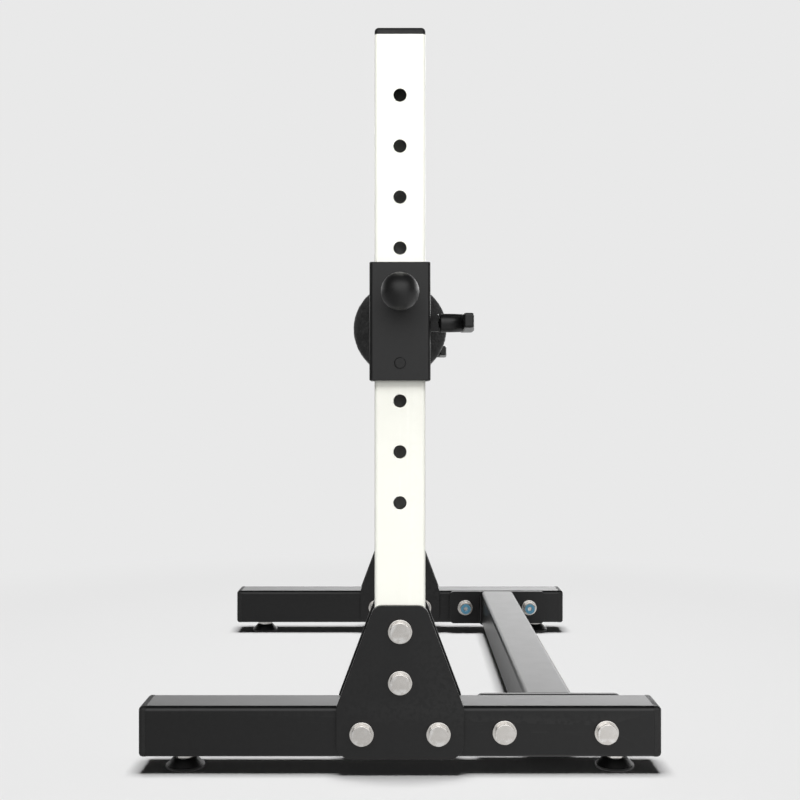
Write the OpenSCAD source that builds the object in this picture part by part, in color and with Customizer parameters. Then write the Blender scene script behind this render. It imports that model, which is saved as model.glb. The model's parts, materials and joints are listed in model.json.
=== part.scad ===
// Single leg squat stand: two uprights on foot tubes, tied by a crossbeam, with a
// foam roller on a carriage that slides up and down both uprights.
// X runs from the uprights towards the crossbeam, Y from the left side to the right
// side, Z up. The origin is on the floor, midway between the uprights.

/* [Frame] */
// Distance between the centre planes of the two uprights
upright_span = 700; // [600:10:800]
// Outside width of the square tube of the frame
tube_w = 50; // [44:1:56]
// Wall of the square tube of the frame
tube_wall = 3; // [2:0.5:4]
// Outside corner radius of the square tube of the frame
tube_corner_r = 4; // [3:0.5:6]
// Length of an upright
upright_len = 660; // [600:10:760]
// Length of a foot tube without its end caps
foot_tube_len = 500; // [480:10:600]
// Thickness of an end cap's visible plate
cap_t = 7; // [4:0.5:9]
// Rounding of an end cap's outer edge
cap_edge_r = 4.5; // [1:0.5:5]
// Depth of the plug that holds an end cap in its tube
cap_plug_len = 20; // [12:1:24]
// Wall of the plug that holds an end cap in its tube
cap_plug_wall = 2; // [1.5:0.5:3]
// Gap round the plug of an end cap
cap_gap = 0.1; // [0.05:0.05:0.2]

/* [Adjusting holes] */
// Diameter of an adjusting hole
hole_d = 13; // [12.5:0.1:13.5]
// Distance from one adjusting hole to the next
hole_pitch = 50; // [40:5:60]
// Height of the lowest adjusting hole above the foot tube
hole_low = 200; // [180:5:230]
// Least distance from the highest adjusting hole to the top of the upright
hole_margin = 50; // [40:5:60]
// Adjusting hole at which the carriage stands, counted from 0 at the lowest
hole_in_use = 4; // [0:1:6]

/* [Gusset plates] */
// Thickness of a gusset plate
gusset_t = 6; // [4:0.5:8]
// Height of a gusset plate
gusset_h = 150; // [140:5:170]
// Width of a gusset plate along the foot tube
gusset_w = 125; // [115:5:150]
// Radius of the lower corners of a gusset plate
gusset_low_r = 15; // [8:1:20]
// Radius where the sides of a gusset plate start to taper
gusset_side_r = 4; // [2:1:10]
// Radius of the upper corners of a gusset plate
gusset_top_r = 10; // [5:1:14]
// Height of the lower upright bolt above the foot tube
gusset_bolt_low = 25; // [22:1:30]
// Distance between the two upright bolts
gusset_bolt_pitch = 50; // [40:5:55]
// Distance between the two foot tube bolts of a gusset plate
gusset_foot_pitch = 75; // [65:1:85]

/* [Crossbeam] */
// Thickness of a crossbeam flange plate
flange_t = 6; // [4:0.5:8]
// Width of a crossbeam flange plate
flange_w = 150; // [130:5:170]
// Corner radius of a crossbeam flange plate
flange_corner_r = 7.5; // [4:0.5:12]
// Distance between the two bolts of a flange plate
flange_bolt_pitch = 100; // [85:5:115]
// Gap between a gusset plate and the flange plate beside it
flange_gap = 15; // [5:1:20]

/* [Bolts and nuts] */
// Diameter of the frame bolts
bolt_d = 12; // [10:1:13]
// Width across the flats of a frame bolt's head and nut
bolt_af = 19; // [18:0.5:20]
// Height of a frame bolt's head
bolt_head_h = 7.5; // [6:0.5:9]
// Length of bolt that stands out past its nut
bolt_tip = 1; // [0.5:0.5:3]
// Diameter of a frame washer
washer_d = 24; // [22:0.5:26]
// Thickness of a frame washer
washer_t = 2.5; // [2:0.5:3]
// Height of a lock nut, with its collar
nut_h = 12; // [10:0.5:14]
// Height of a lock nut's round collar
nut_collar_h = 3.5; // [3:0.5:4.5]
// Wall of a lock nut's round collar
nut_collar_wall = 1; // [0.6:0.1:1.2]
// Height of the nylon ring in a lock nut
ring_h = 2.5; // [2:0.25:2.75]
// Wall of the nylon ring in a lock nut
ring_wall = 1.7; // [1:0.1:1.8]
// Gap round a bolt in its holes and washers
bolt_gap = 0.25; // [0.1:0.05:0.5]
// Gap drawn between a thread and its nut
thread_gap = 0.05; // [0.02:0.01:0.1]

/* [Levelling feet] */
// Distance from the end of a foot tube to the middle of its foot
foot_inset = 35; // [30:1:45]
// Diameter of a foot's pad
pad_d = 39; // [34:1:44]
// Height of the pad's rim
pad_rim_h = 4; // [3:0.5:5]
// Full height of the pad
pad_h = 9.5; // [8:0.5:12]
// Diameter of the pad's neck
pad_neck_d = 17; // [16:0.5:20]
// Thickness of the pad's floor under the stud
pad_floor = 3; // [2:0.5:4]
// Chamfer round the bottom of the pad
pad_chamfer = 1; // [0.5:0.25:2]
// Width of the flat step between the pad's rim and its flare
pad_step = 1; // [0.5:0.25:1.5]
// Diameter of a foot's stud
stud_d = 12; // [10:1:13]
// Length of stud that stands out above its threaded insert
stud_tip = 2; // [1:0.5:2.5]
// Running gap round a stud
stud_gap = 0.1; // [0.05:0.01:0.1]
// Width across the flats of a foot's jam nut
jam_af = 19; // [18:0.5:20]
// Height of a foot's jam nut
jam_h = 6; // [5:0.5:8]
// Gap between a pad and its jam nut when the foot is screwed right in
pad_gap = 0.5; // [0.3:0.1:0.9]
// Diameter of the threaded insert in a foot tube
insert_d = 18; // [17:0.5:19]
// Height of the threaded insert in a foot tube
insert_h = 12; // [9:0.5:13]
// Diameter of the threaded insert's flange
insert_flange_d = 22; // [20:0.5:24]
// Thickness of the threaded insert's flange
insert_flange_t = 2; // [1:0.5:3]

/* [Carriage] */
// Height of a sleeve
sleeve_h = 116; // [110:2:130]
// Wall of a sleeve
sleeve_wall = 3; // [2:0.5:4]
// Outside corner radius of a sleeve
sleeve_corner_r = 4; // [3:0.5:5]
// Thickness of a sleeve's plastic liner
liner_t = 1.7; // [1.5:0.1:2.5]
// Sliding gap between a liner and its upright
liner_gap = 0.3; // [0.2:0.05:0.5]
// Distance that a liner ends inside its sleeve, at top and bottom
liner_inset = 2; // [1:0.5:4]
// Gap drawn between pieces that are pressed or screwed together
seat_gap = 0.05; // [0.02:0.01:0.1]
// Distance from the middle of a sleeve down to its liner plug
plug_drop = 41; // [36:1:46]
// Diameter of a liner plug's head
plug_head_d = 11.5; // [10:0.5:14]
// Height of a liner plug's head, and rounding of its edge
plug_head_h = 1.5; // [1:0.1:2.5]
// Diameter of a liner plug's shank
plug_d = 8; // [6:0.5:9]

/* [Pull pins] */
// Height of a pull pin above the middle of its sleeve
pin_rise = 22; // [18:1:30]
// Diameter of a pull pin
pin_d = 12; // [10:0.5:12]
// Travel of a pull pin, from parked to home in a hole
pin_travel = 12; // [9:0.5:13]
// Gap between a parked pin's tip and the upright
pin_park_gap = 1; // [0.5:0.1:2]
// Chamfer at the tip of a pull pin
pin_chamfer = 1.5; // [0.5:0.5:2]
// Running gap round a pull pin
pin_gap = 0.1; // [0.05:0.01:0.1]
// Diameter of the pin housing's threaded nose
nose_d = 16; // [15:0.5:18]
// Gap between the threaded nose and the upright
nose_gap = 0.5; // [0.4:0.1:1]
// Width across the flats of the pin housing's hexagon
housing_af = 22; // [21:0.5:24]
// Thickness of the pin housing's hexagon
housing_hex_t = 6; // [5:0.5:8]
// Diameter of the pin housing's barrel
housing_d = 21; // [20.5:0.5:23]
// Length of the pin housing outside the sleeve
housing_len = 45; // [42:1:52]
// Wall round the spring in the pin housing
housing_wall = 2; // [1.5:0.25:2.5]
// Length of the pin's guide outside the sleeve
guide_len = 10; // [8:0.5:12]
// Thickness of the pin housing's end wall
housing_end_t = 3; // [2:0.5:4]
// Chamfer at the outer end of the pin housing
housing_chamfer = 1; // [0.5:0.25:1.5]
// Thickness of the plunger's collar
collar_t = 3; // [2:0.5:4]
// Diameter of the plunger's rod
rod_d = 8; // [7:0.5:9]
// Wire of the plunger's spring
spring_wire = 1.5; // [1.2:0.1:1.6]
// Turns of the plunger's spring
spring_turns = 6; // [5:1:7]
// Diameter of the ball knob
knob_d = 35; // [30:1:40]
// Diameter of the ball knob's flat neck
knob_neck_d = 18; // [14:1:20]
// Depth of the rod's thread in the ball knob
knob_bore = 16; // [12:1:18]
// Gap left between the ball knob and the housing when the pin is home
knob_gap = 5; // [3:0.5:8]

/* [Clamp screws] */
// Diameter of a clamp screw
screw_d = 10; // [8:0.5:11]
// Gap between a clamp screw's tip and the upright
screw_tip_gap = 0.3; // [0.2:0.1:0.6]
// Running gap round a clamp screw
screw_gap = 0.1; // [0.05:0.01:0.1]
// Width across the flats of a clamp screw's nut
screw_nut_af = 17; // [16:0.5:19]
// Height of a clamp screw's nut
screw_nut_h = 8.5; // [7:0.5:10]
// Gap between the nut and the handle
handle_gap = 1.5; // [1:0.25:3]
// Depth of the screw in its handle
screw_in_handle = 16; // [12:1:20]
// Diameter of the handle's barrel
barrel_d = 18.7; // [17:0.1:21]
// Length of the handle's barrel
barrel_len = 22; // [20:0.5:26]
// Length of the handle's cross bar
bar_len = 87; // [75:1:100]
// Thickness of the handle's cross bar
bar_t = 9.3; // [8:0.1:11]
// Height of the handle's cross bar
bar_h = 14.3; // [12:0.1:16]
// Height of the handle's cross bar at its middle
bar_mid_h = 18; // [16:0.1:21]
// How far the middle of the cross bar stands out beyond its ends
bar_crown = 2.4; // [1:0.1:4]
// Corner radius at the ends of the cross bar
bar_corner_r = 1.5; // [0.5:0.25:3]
// Radius of the flares from the barrel to the cross bar
flare_r = 14; // [10:0.5:16]

/* [Roller] */
// Diameter of the axle
axle_d = 25; // [22:0.5:28]
// Wall of the axle
axle_wall = 3; // [2:0.5:4]
// Diameter of the boss that holds an end of the axle
boss_d = 36; // [35:0.5:42]
// Length of the boss that holds an end of the axle
boss_len = 30; // [24:1:36]
// Diameter of an axle collar
axle_collar_d = 40; // [38:0.5:44]
// Width of an axle collar
axle_collar_w = 15; // [12:0.5:18]
// Diameter of a set screw
set_screw_d = 8; // [6:0.5:9]
// Length of a set screw
set_screw_len = 5; // [4:0.25:5.25]
// Width across the flats of a set screw's socket
set_screw_socket = 4; // [3:0.5:4.5]
// Depth of a set screw's socket
set_screw_socket_h = 3; // [2:0.25:3.5]
// Gap between each sleeve and the end of the foam
roller_gap = 65; // [60:1:80]
// End play of the roller between its collars, on each side
roller_play = 0.5; // [0.3:0.1:1]
// Outside diameter of the foam
foam_d = 101.6; // [90:0.1:120]
// Rounding of the foam's ends
foam_edge_r = 5; // [3:0.5:8]
// Outside diameter of the roller's core tube
core_d = 40; // [38:0.5:44]
// Wall of the roller's core tube
core_wall = 2; // [1.5:0.25:2.5]
// Length of a bush inside the core tube
bush_len = 25; // [18:1:35]
// Diameter of a bush's flange
bush_flange_d = 48; // [46:1:54]
// Thickness of a bush's flange
bush_flange_t = 4; // [2:0.5:5]
// Running gap between a bush and the axle
bush_gap = 0.08; // [0.05:0.01:0.1]

/* [Hidden] */

$fn = 64;
left = -1;
right = 1;
front = 1;
rear = -1;
// Overshoot of a cut past the face that it opens
cut = 1;
// Least corner radius inside a tube
least_r = 0.5;
// Running gap kept at the end of a pull pin's travel
stop_gap = 0.2;
// Clearance between the foam and its core tube
foam_gap = 0.1;
// Points in one turn of the spring, and round its wire
spring_steps = 10;
spring_sides = 6;

// Heights
foot_z = pad_h + pad_gap + jam_h;
foot_mid_z = foot_z + tube_w / 2;
foot_top_z = foot_z + tube_w;
upright_top_z = foot_top_z + upright_len;
hole_low_z = foot_top_z + hole_low;
hole_count = floor((upright_len - hole_low - hole_margin) / hole_pitch) + 1;
pin_z = hole_low_z + hole_in_use * hole_pitch;
sleeve_mid_z = pin_z - pin_rise;

// Plans and outlines
half_w = tube_w / 2;
foot_x = foot_tube_len / 2 - foot_inset;
beam_x = gusset_w / 2 + flange_gap + flange_w / 2;
beam_len = upright_span - tube_w - 2 * flange_t;
gusset_places = [
    [0, foot_top_z + gusset_bolt_low],
    [0, foot_top_z + gusset_bolt_low + gusset_bolt_pitch],
    [-gusset_foot_pitch / 2, foot_mid_z],
    [gusset_foot_pitch / 2, foot_mid_z]
];
flange_places = [
    [beam_x - flange_bolt_pitch / 2, foot_mid_z],
    [beam_x + flange_bolt_pitch / 2, foot_mid_z]
];
gusset_outline = [
    [-gusset_w / 2, foot_z], [gusset_w / 2, foot_z], [gusset_w / 2, foot_top_z],
    [half_w, foot_z + gusset_h], [-half_w, foot_z + gusset_h], [-gusset_w / 2, foot_top_z]
];
gusset_radii = [
    gusset_low_r, gusset_low_r, gusset_side_r, gusset_top_r, gusset_top_r, gusset_side_r
];

// Bolted joints: thickness under the head and nut
gusset_grip = tube_w + 2 * gusset_t;
flange_grip = tube_w + flange_t;
bolt_hole_d = bolt_d + 2 * bolt_gap;

// Carriage, measured outwards from an upright's face
sleeve_out = liner_gap + liner_t + sleeve_wall;
sleeve_w = tube_w + 2 * sleeve_out;
liner_out = liner_gap + liner_t - seat_gap;
liner_w = tube_w + 2 * liner_out;
chamber_d = housing_d - 2 * housing_wall;
chamber_in = sleeve_out + guide_len;
housing_end = sleeve_out + housing_len;
chamber_end = housing_end - housing_end_t;
collar_in = chamber_in + pin_travel + stop_gap;
spring_in = collar_in + collar_t;
spring_len = chamber_end - spring_in;
spring_d = (chamber_d + rod_d) / 2;
knob_flat = sqrt(pow(knob_d, 2) - pow(knob_neck_d, 2)) / 2;
knob_flat_out = housing_end + knob_gap + pin_travel;
knob_out = knob_flat_out + knob_flat;
handle_out = sleeve_out + screw_nut_h + handle_gap;
bar_out = handle_out + barrel_len;

// Roller
axle_len = upright_span - sleeve_w;
foam_len = axle_len - 2 * roller_gap;
collar_y = foam_len / 2 + bush_flange_t + roller_play;

// Coordinates of one side, with its outer face towards -Y
module on_side(side) {
    translate([0, side * upright_span / 2, 0])
        if (side == right) mirror([0, 1, 0]) children();
        else children();
}

// Coordinates that start on an upright's outer face and run outwards along Z
module outward(z) {
    translate([0, -half_w, z]) rotate([90, 0, 0]) children();
}

// Coordinates that start on an upright's front face and run forwards along Z
module forward(z) {
    translate([half_w, 0, z]) rotate([0, 90, 0]) children();
}

// A plate's outline, drawn as X and Z, made into a plate from y to y + t
module upright_plate(y, t) {
    translate([0, y + t, 0]) rotate([90, 0, 0]) linear_extrude(t) children();
}

// A hole along Y through everything of one side, at each place given as X and Z
module side_holes(places, d) {
    for (p = places) translate([p[0], 0, p[1]])
        rotate([90, 0, 0]) cylinder(h = 2 * tube_w, d = d, center = true);
}

module rounded_square(w, r) {
    square([w - 2 * r, w], center = true);
    square([w, w - 2 * r], center = true);
    for (x = [-1, 1], y = [-1, 1]) translate([x, y] * (w / 2 - r)) circle(r);
}

function unit(v) = v / norm(v);
function to_last(p, i) = unit(p[(i + len(p) - 1) % len(p)] - p[i]);
function to_next(p, i) = unit(p[(i + 1) % len(p)] - p[i]);
function half_angle(p, i) = acos(to_last(p, i) * to_next(p, i)) / 2;

// A convex outline with a true arc at each corner
module rounded_outline(p, radii) {
    polygon([
        for (i = [0 : len(p) - 1], v = [to_last(p, i), to_next(p, i)])
            p[i] + v * radii[i] / tan(half_angle(p, i))
    ]);
    for (i = [0 : len(p) - 1])
        translate(p[i] + unit(to_last(p, i) + to_next(p, i)) * radii[i] / sin(half_angle(p, i)))
            circle(radii[i]);
}

// A rectangle from low to high with a true arc at each corner
module rounded_box(low, high, r) {
    rounded_outline([low, [high[0], low[1]], high, [low[0], high[1]]], [r, r, r, r]);
}

// Square tube along Z
module square_tube(len, w, wall, corner_r) {
    linear_extrude(len) difference() {
        rounded_square(w, corner_r);
        rounded_square(w - 2 * wall, max(corner_r - wall, least_r));
    }
}

// Hexagon with chamfered corners, a corner towards Y
module hexagon(af, h, low_chamfer = true) {
    corner = af / 2 / cos(30);
    rise = (corner - af / 2) * tan(30);
    intersection() {
        rotate(30) linear_extrude(h) circle(corner, $fn = 6);
        rotate_extrude() polygon([
            [0, 0], [low_chamfer ? af / 2 : corner, 0], [corner, low_chamfer ? rise : 0],
            [corner, h - rise], [af / 2, h], [0, h]
        ]);
    }
}

// End cap with its plug downwards and its plate on top of Z = 0
module end_cap() {
    plug_w = tube_w - 2 * tube_wall - 2 * cap_gap;
    plug_r = max(tube_corner_r - tube_wall, least_r);
    intersection() {
        linear_extrude(cap_t) rounded_square(tube_w, tube_corner_r);
        for_both_ways() linear_extrude(2 * tube_w, center = true)
            rounded_box([-half_w, -cap_t], [half_w, cap_t], min(cap_edge_r, cap_t - least_r));
    }
    translate([0, 0, -cap_plug_len]) linear_extrude(cap_plug_len) difference() {
        rounded_square(plug_w, plug_r);
        rounded_square(plug_w - 2 * cap_plug_wall, least_r);
    }
}

// What a profile along X and a profile along Y, both drawn with height as Y, share
module for_both_ways() {
    intersection() {
        rotate([90, 0, 0]) children();
        rotate([90, 0, 90]) children();
    }
}

module foot_tube(side) {
    color("#222224") on_side(side) difference() {
        translate([-foot_tube_len / 2, 0, foot_mid_z]) rotate([0, 90, 0])
            square_tube(foot_tube_len, tube_w, tube_wall, tube_corner_r);
        side_holes([gusset_places[2], gusset_places[3], each flange_places], bolt_hole_d);
        for (end = [rear, front]) translate([end * foot_x, 0, foot_z - cut])
            cylinder(h = tube_wall + 2 * cut, d = stud_d + 2 * bolt_gap);
    }
}

module upright(side) {
    color("#fbfbf4") on_side(side) difference() {
        translate([0, 0, foot_top_z])
            square_tube(upright_len, tube_w, tube_wall, tube_corner_r);
        side_holes([gusset_places[0], gusset_places[1]], bolt_hole_d);
        for (i = [0 : hole_count - 1]) outward(hole_low_z + i * hole_pitch)
            translate([0, 0, -half_w]) cylinder(h = half_w + cut, d = hole_d);
    }
}

module gusset(side, y) {
    color("#262628") on_side(side) difference() {
        upright_plate(y, gusset_t) rounded_outline(gusset_outline, gusset_radii);
        side_holes(gusset_places, bolt_hole_d);
    }
}

module outer_gusset(side) gusset(side, -half_w - gusset_t);

module inner_gusset(side) gusset(side, half_w);

module crossbeam() {
    color("#222224") translate([beam_x, beam_len / 2, foot_mid_z]) rotate([90, 0, 0])
        square_tube(beam_len, tube_w, tube_wall, tube_corner_r);
}

module flange(side) {
    color("#222224") on_side(side) difference() {
        upright_plate(half_w, flange_t) rounded_box(
            [beam_x - flange_w / 2, foot_z], [beam_x + flange_w / 2, foot_top_z], flange_corner_r);
        side_holes(flange_places, bolt_hole_d);
    }
}

module foot_caps(side) {
    color("#19191b") on_side(side) for (end = [rear, front])
        translate([end * foot_tube_len / 2, 0, foot_mid_z]) rotate([0, end * 90, 0]) end_cap();
}

module upright_cap(side) {
    color("#19191b") on_side(side) translate([0, 0, upright_top_z]) end_cap();
}

// Places of bolts, washers and nuts on both sides, outer face first, running inwards along Z
module at_bolts(places, outer_face) {
    for (side = [left, right]) on_side(side) for (p = places)
        translate([p[0], -outer_face, p[1]]) rotate([-90, 0, 0]) children();
}

module at_all_bolts() {
    at_bolts(gusset_places, half_w + gusset_t) children(0);
    at_bolts(flange_places, half_w) children(1);
}

module bolt(grip) {
    translate([0, 0, -washer_t]) {
        mirror([0, 0, 1]) hexagon(bolt_af, bolt_head_h, low_chamfer = false);
        cylinder(h = grip + 2 * washer_t + nut_h + bolt_tip, d = bolt_d);
    }
}

module gusset_bolts() {
    color("#c4bfb8") at_bolts(gusset_places, half_w + gusset_t) bolt(gusset_grip);
}

module flange_bolts() {
    color("#c4bfb8") at_bolts(flange_places, half_w) bolt(flange_grip);
}

module washer_pair(grip) {
    for (z = [-washer_t, grip]) translate([0, 0, z]) difference() {
        cylinder(h = washer_t, d = washer_d);
        translate([0, 0, -cut]) cylinder(h = washer_t + 2 * cut, d = bolt_hole_d);
    }
}

module washers() {
    color("#c4bfb8") at_all_bolts() {
        washer_pair(gusset_grip);
        washer_pair(flange_grip);
    }
}

module lock_nut(grip) {
    ring_d = bolt_d + 2 * ring_wall;
    translate([0, 0, grip + washer_t]) difference() {
        union() {
            hexagon(bolt_af, nut_h - nut_collar_h);
            cylinder(h = nut_h, d = ring_d + 2 * nut_collar_wall);
        }
        translate([0, 0, -cut]) cylinder(h = nut_h + 2 * cut, d = bolt_d + 2 * thread_gap);
        translate([0, 0, nut_h - ring_h]) cylinder(h = ring_h + cut, d = ring_d);
    }
}

module lock_nuts() {
    color("#c4bfb8") at_all_bolts() {
        lock_nut(gusset_grip);
        lock_nut(flange_grip);
    }
}

module nut_ring(grip) {
    translate([0, 0, grip + washer_t + nut_h - ring_h]) difference() {
        cylinder(h = ring_h, d = bolt_d + 2 * ring_wall - 2 * thread_gap);
        translate([0, 0, -cut]) cylinder(h = ring_h + 2 * cut, d = bolt_d + 2 * thread_gap);
    }
}

module nut_rings() {
    color("#4f7f9c") at_all_bolts() {
        nut_ring(gusset_grip);
        nut_ring(flange_grip);
    }
}

module at_feet() {
    for (side = [left, right], end = [rear, front])
        translate([end * foot_x, side * upright_span / 2, 0]) children();
}

module foot_jam_nuts() {
    color("#c4bfb8") at_feet() translate([0, 0, foot_z - jam_h]) difference() {
        rotate(30) hexagon(jam_af, jam_h);
        translate([0, 0, -cut]) cylinder(h = jam_h + 2 * cut, d = stud_d + 2 * stud_gap);
    }
}

module foot_inserts() {
    color("#b9b6ae") at_feet() translate([0, 0, foot_z + tube_wall]) difference() {
        union() {
            cylinder(h = insert_h, d = insert_d);
            cylinder(h = insert_flange_t, d = insert_flange_d);
        }
        translate([0, 0, -cut]) cylinder(h = insert_h + 2 * cut, d = stud_d + 2 * stud_gap);
    }
}

// Pad with a rim and a flared neck, whose flare is a true arc
module foot_pad(side, end) {
    drop_r = pad_h - pad_rim_h;
    color("#161617") translate([end * foot_x, side * upright_span / 2, 0])
        rotate_extrude() difference() {
            polygon([
                [0, 0], [pad_d / 2 - pad_chamfer, 0], [pad_d / 2, pad_chamfer],
                [pad_d / 2, pad_rim_h], [pad_neck_d / 2, pad_h], [0, pad_h]
            ]);
            translate([0, pad_floor]) square([stud_d / 2 + seat_gap, pad_h]);
            translate([pad_neck_d / 2 + drop_r, pad_h]) circle(drop_r - pad_step);
        }
}

module foot_stud(side, end) {
    stud_top = foot_z + tube_wall + insert_h + stud_tip;
    color("#b9b6ae") translate([end * foot_x, side * upright_span / 2, pad_floor])
        cylinder(h = stud_top - pad_floor, d = stud_d);
}

module sleeve(side) {
    color("#2a2a2c") on_side(side) difference() {
        translate([0, 0, sleeve_mid_z - sleeve_h / 2])
            square_tube(sleeve_h, sleeve_w, sleeve_wall, sleeve_corner_r);
        outward(pin_z) cylinder(h = sleeve_out + cut, d = nose_d + 2 * seat_gap);
        outward(sleeve_mid_z - plug_drop)
            cylinder(h = sleeve_out + cut, d = plug_d + 2 * seat_gap);
        forward(sleeve_mid_z) cylinder(h = sleeve_out + cut, d = screw_d + 2 * bolt_gap);
    }
}

module liner(side) {
    liner_h = sleeve_h - 2 * liner_inset;
    liner_r = max(sleeve_corner_r - sleeve_wall, least_r);
    color("#0f0f10") on_side(side) difference() {
        translate([0, 0, sleeve_mid_z - liner_h / 2]) linear_extrude(liner_h) difference() {
            rounded_square(liner_w, liner_r);
            rounded_square(tube_w + 2 * liner_gap, tube_corner_r + liner_gap);
        }
        outward(pin_z) cylinder(h = sleeve_out, d = nose_d + 2 * bolt_gap);
        outward(sleeve_mid_z - plug_drop) cylinder(h = sleeve_out, d = plug_d + 2 * seat_gap);
        forward(sleeve_mid_z) cylinder(h = sleeve_out, d = screw_d + 2 * bolt_gap);
    }
}

// Plug with a rounded head on the sleeve and a shank into the liner
module liner_plug(side) {
    color("#141415") on_side(side) outward(sleeve_mid_z - plug_drop) {
        translate([0, 0, liner_gap]) cylinder(h = sleeve_out - liner_gap, d = plug_d);
        translate([0, 0, sleeve_out]) rotate_extrude() intersection() {
            union() {
                square([plug_head_d / 2 - plug_head_h, plug_head_h]);
                translate([plug_head_d / 2 - plug_head_h, 0]) circle(plug_head_h);
            }
            square([plug_head_d / 2, plug_head_h]);
        }
    }
}

// Pull pin housing: threaded nose through sleeve and liner, hexagon, barrel and end wall
module pin_housing(side) {
    color("#2b2b2d") on_side(side) outward(pin_z) difference() {
        union() {
            translate([0, 0, nose_gap]) cylinder(h = sleeve_out - nose_gap, d = nose_d);
            translate([0, 0, sleeve_out]) rotate(30) hexagon(housing_af, housing_hex_t);
            translate([0, 0, sleeve_out])
                cylinder(h = housing_len - housing_chamfer, d = housing_d);
            translate([0, 0, housing_end - housing_chamfer])
                cylinder(h = housing_chamfer, d1 = housing_d, d2 = housing_d - 2 * housing_chamfer);
        }
        cylinder(h = housing_end, d = pin_d + 2 * pin_gap);
        translate([0, 0, chamber_in]) cylinder(h = chamber_end - chamber_in, d = chamber_d);
    }
    color("#2b2b2d") on_side(side) outward(pin_z) translate([0, 0, chamber_end]) difference() {
        cylinder(h = housing_end_t, d = chamber_d);
        translate([0, 0, -cut]) cylinder(h = housing_end_t + 2 * cut, d = rod_d + 2 * pin_gap);
    }
}

// Points of one section of the spring's wire, at a given turn
function spring_ring(turn) = [
    for (k = [0 : spring_sides - 1])
        let (a = k * 360 / spring_sides, r = spring_d / 2 + spring_wire / 2 * cos(a))
        [r * cos(turn * 360), r * sin(turn * 360),
         spring_wire / 2 * (1 + sin(a)) + turn / spring_turns * (spring_len - spring_wire)]
];

// Spring of round wire, as it lies when the pin is parked
module pin_spring(side) {
    rings = spring_turns * spring_steps;
    sides = spring_sides;
    points = [for (i = [0 : rings]) each spring_ring(i / spring_steps)];
    walls = [
        for (i = [0 : rings - 1], k = [0 : sides - 1])
            let (a = i * sides + k, b = i * sides + (k + 1) % sides)
            each [[a, a + sides, b], [b, a + sides, b + sides]]
    ];
    ends = [
        for (k = [1 : sides - 2])
            each [[0, k, k + 1], [rings * sides, rings * sides + k + 1, rings * sides + k]]
    ];
    color("#b9b6ae") on_side(side) outward(pin_z) translate([0, 0, spring_in])
        polyhedron(points, concat(walls, ends));
}

module plunger(side) {
    color("#c4bfb8") on_side(side) outward(pin_z) {
        translate([0, 0, pin_park_gap + pin_chamfer])
            cylinder(h = collar_in - pin_park_gap - pin_chamfer, d = pin_d);
        translate([0, 0, pin_park_gap])
            cylinder(h = pin_chamfer, d1 = pin_d - 2 * pin_chamfer, d2 = pin_d);
        translate([0, 0, collar_in]) cylinder(h = collar_t, d = chamber_d - 2 * stop_gap);
        translate([0, 0, spring_in])
            cylinder(h = knob_flat_out + knob_bore - spring_in, d = rod_d);
    }
}

module ball_knob(side) {
    color("#101011") on_side(side) outward(pin_z) translate([0, 0, knob_out]) difference() {
        sphere(d = knob_d, $fn = 96);
        translate([0, 0, -knob_flat - knob_d]) cylinder(h = knob_d, d = knob_d);
        translate([0, 0, -knob_flat - cut])
            cylinder(h = knob_bore + cut, d = rod_d + 2 * seat_gap);
    }
}

module clamp_nut(side) {
    color("#2a2a2c") on_side(side) forward(sleeve_mid_z) translate([0, 0, sleeve_out]) difference() {
        hexagon(screw_nut_af, screw_nut_h);
        translate([0, 0, -cut]) cylinder(h = screw_nut_h + 2 * cut, d = screw_d + 2 * screw_gap);
    }
}

module clamp_screw(side) {
    color("#242426") on_side(side) forward(sleeve_mid_z) translate([0, 0, screw_tip_gap])
        cylinder(h = handle_out + screw_in_handle - screw_tip_gap, d = screw_d);
}

// Outline of the flares from the barrel, drawn as Y and distance from the upright
module flare_outline() {
    flare_in = bar_out - flare_r;
    flare_w = barrel_d / 4 + flare_r;
    difference() {
        translate([-flare_w, flare_in]) square([2 * flare_w, flare_r + bar_t / 2]);
        for (x = [-1, 1]) translate([x * flare_w, flare_in]) circle(flare_r);
    }
}

// Cross bar that grows in height and thickness towards its middle
module cross_bar() {
    half_len = bar_len / 2;
    half_mid = barrel_d / 2;
    top = bar_out + bar_t;
    radii = [for (i = [1 : 8]) bar_corner_r];
    intersection() {
        rotate([90, 0, 90]) linear_extrude(2 * bar_mid_h, center = true) rounded_outline([
            [-half_len, bar_out], [half_len, bar_out], [half_len, top],
            [half_mid, top + bar_crown], [-half_mid, top + bar_crown], [-half_len, top]
        ], radii);
        translate([0, 0, bar_out - bar_t]) rotate(90)
            linear_extrude(3 * bar_t + bar_crown) rounded_outline([
                [-half_len, -bar_h / 2], [-half_mid, -bar_mid_h / 2],
                [half_mid, -bar_mid_h / 2], [half_len, -bar_h / 2],
                [half_len, bar_h / 2], [half_mid, bar_mid_h / 2],
                [-half_mid, bar_mid_h / 2], [-half_len, bar_h / 2]
            ], radii);
    }
}

module tee_handle(side) {
    color("#242426") on_side(side) forward(sleeve_mid_z) difference() {
        union() {
            translate([0, 0, handle_out]) cylinder(h = barrel_len + bar_corner_r, d = barrel_d);
            rotate([90, 0, 90]) linear_extrude(bar_h, center = true) flare_outline();
            cross_bar();
        }
        translate([0, 0, handle_out - cut])
            cylinder(h = screw_in_handle + cut, d = screw_d + 2 * seat_gap);
    }
}

// Boss on a sleeve's inner face, running inwards along Z
module axle_boss(side) {
    color("#2a2a2c") on_side(side) translate([0, sleeve_w / 2, sleeve_mid_z])
        rotate([-90, 0, 0]) difference() {
            cylinder(h = boss_len, d = boss_d);
            translate([0, 0, -cut]) cylinder(h = boss_len + 2 * cut, d = axle_d + 2 * seat_gap);
            translate([0, 0, boss_len / 2]) set_screw_hole(boss_d);
        }
}

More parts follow.
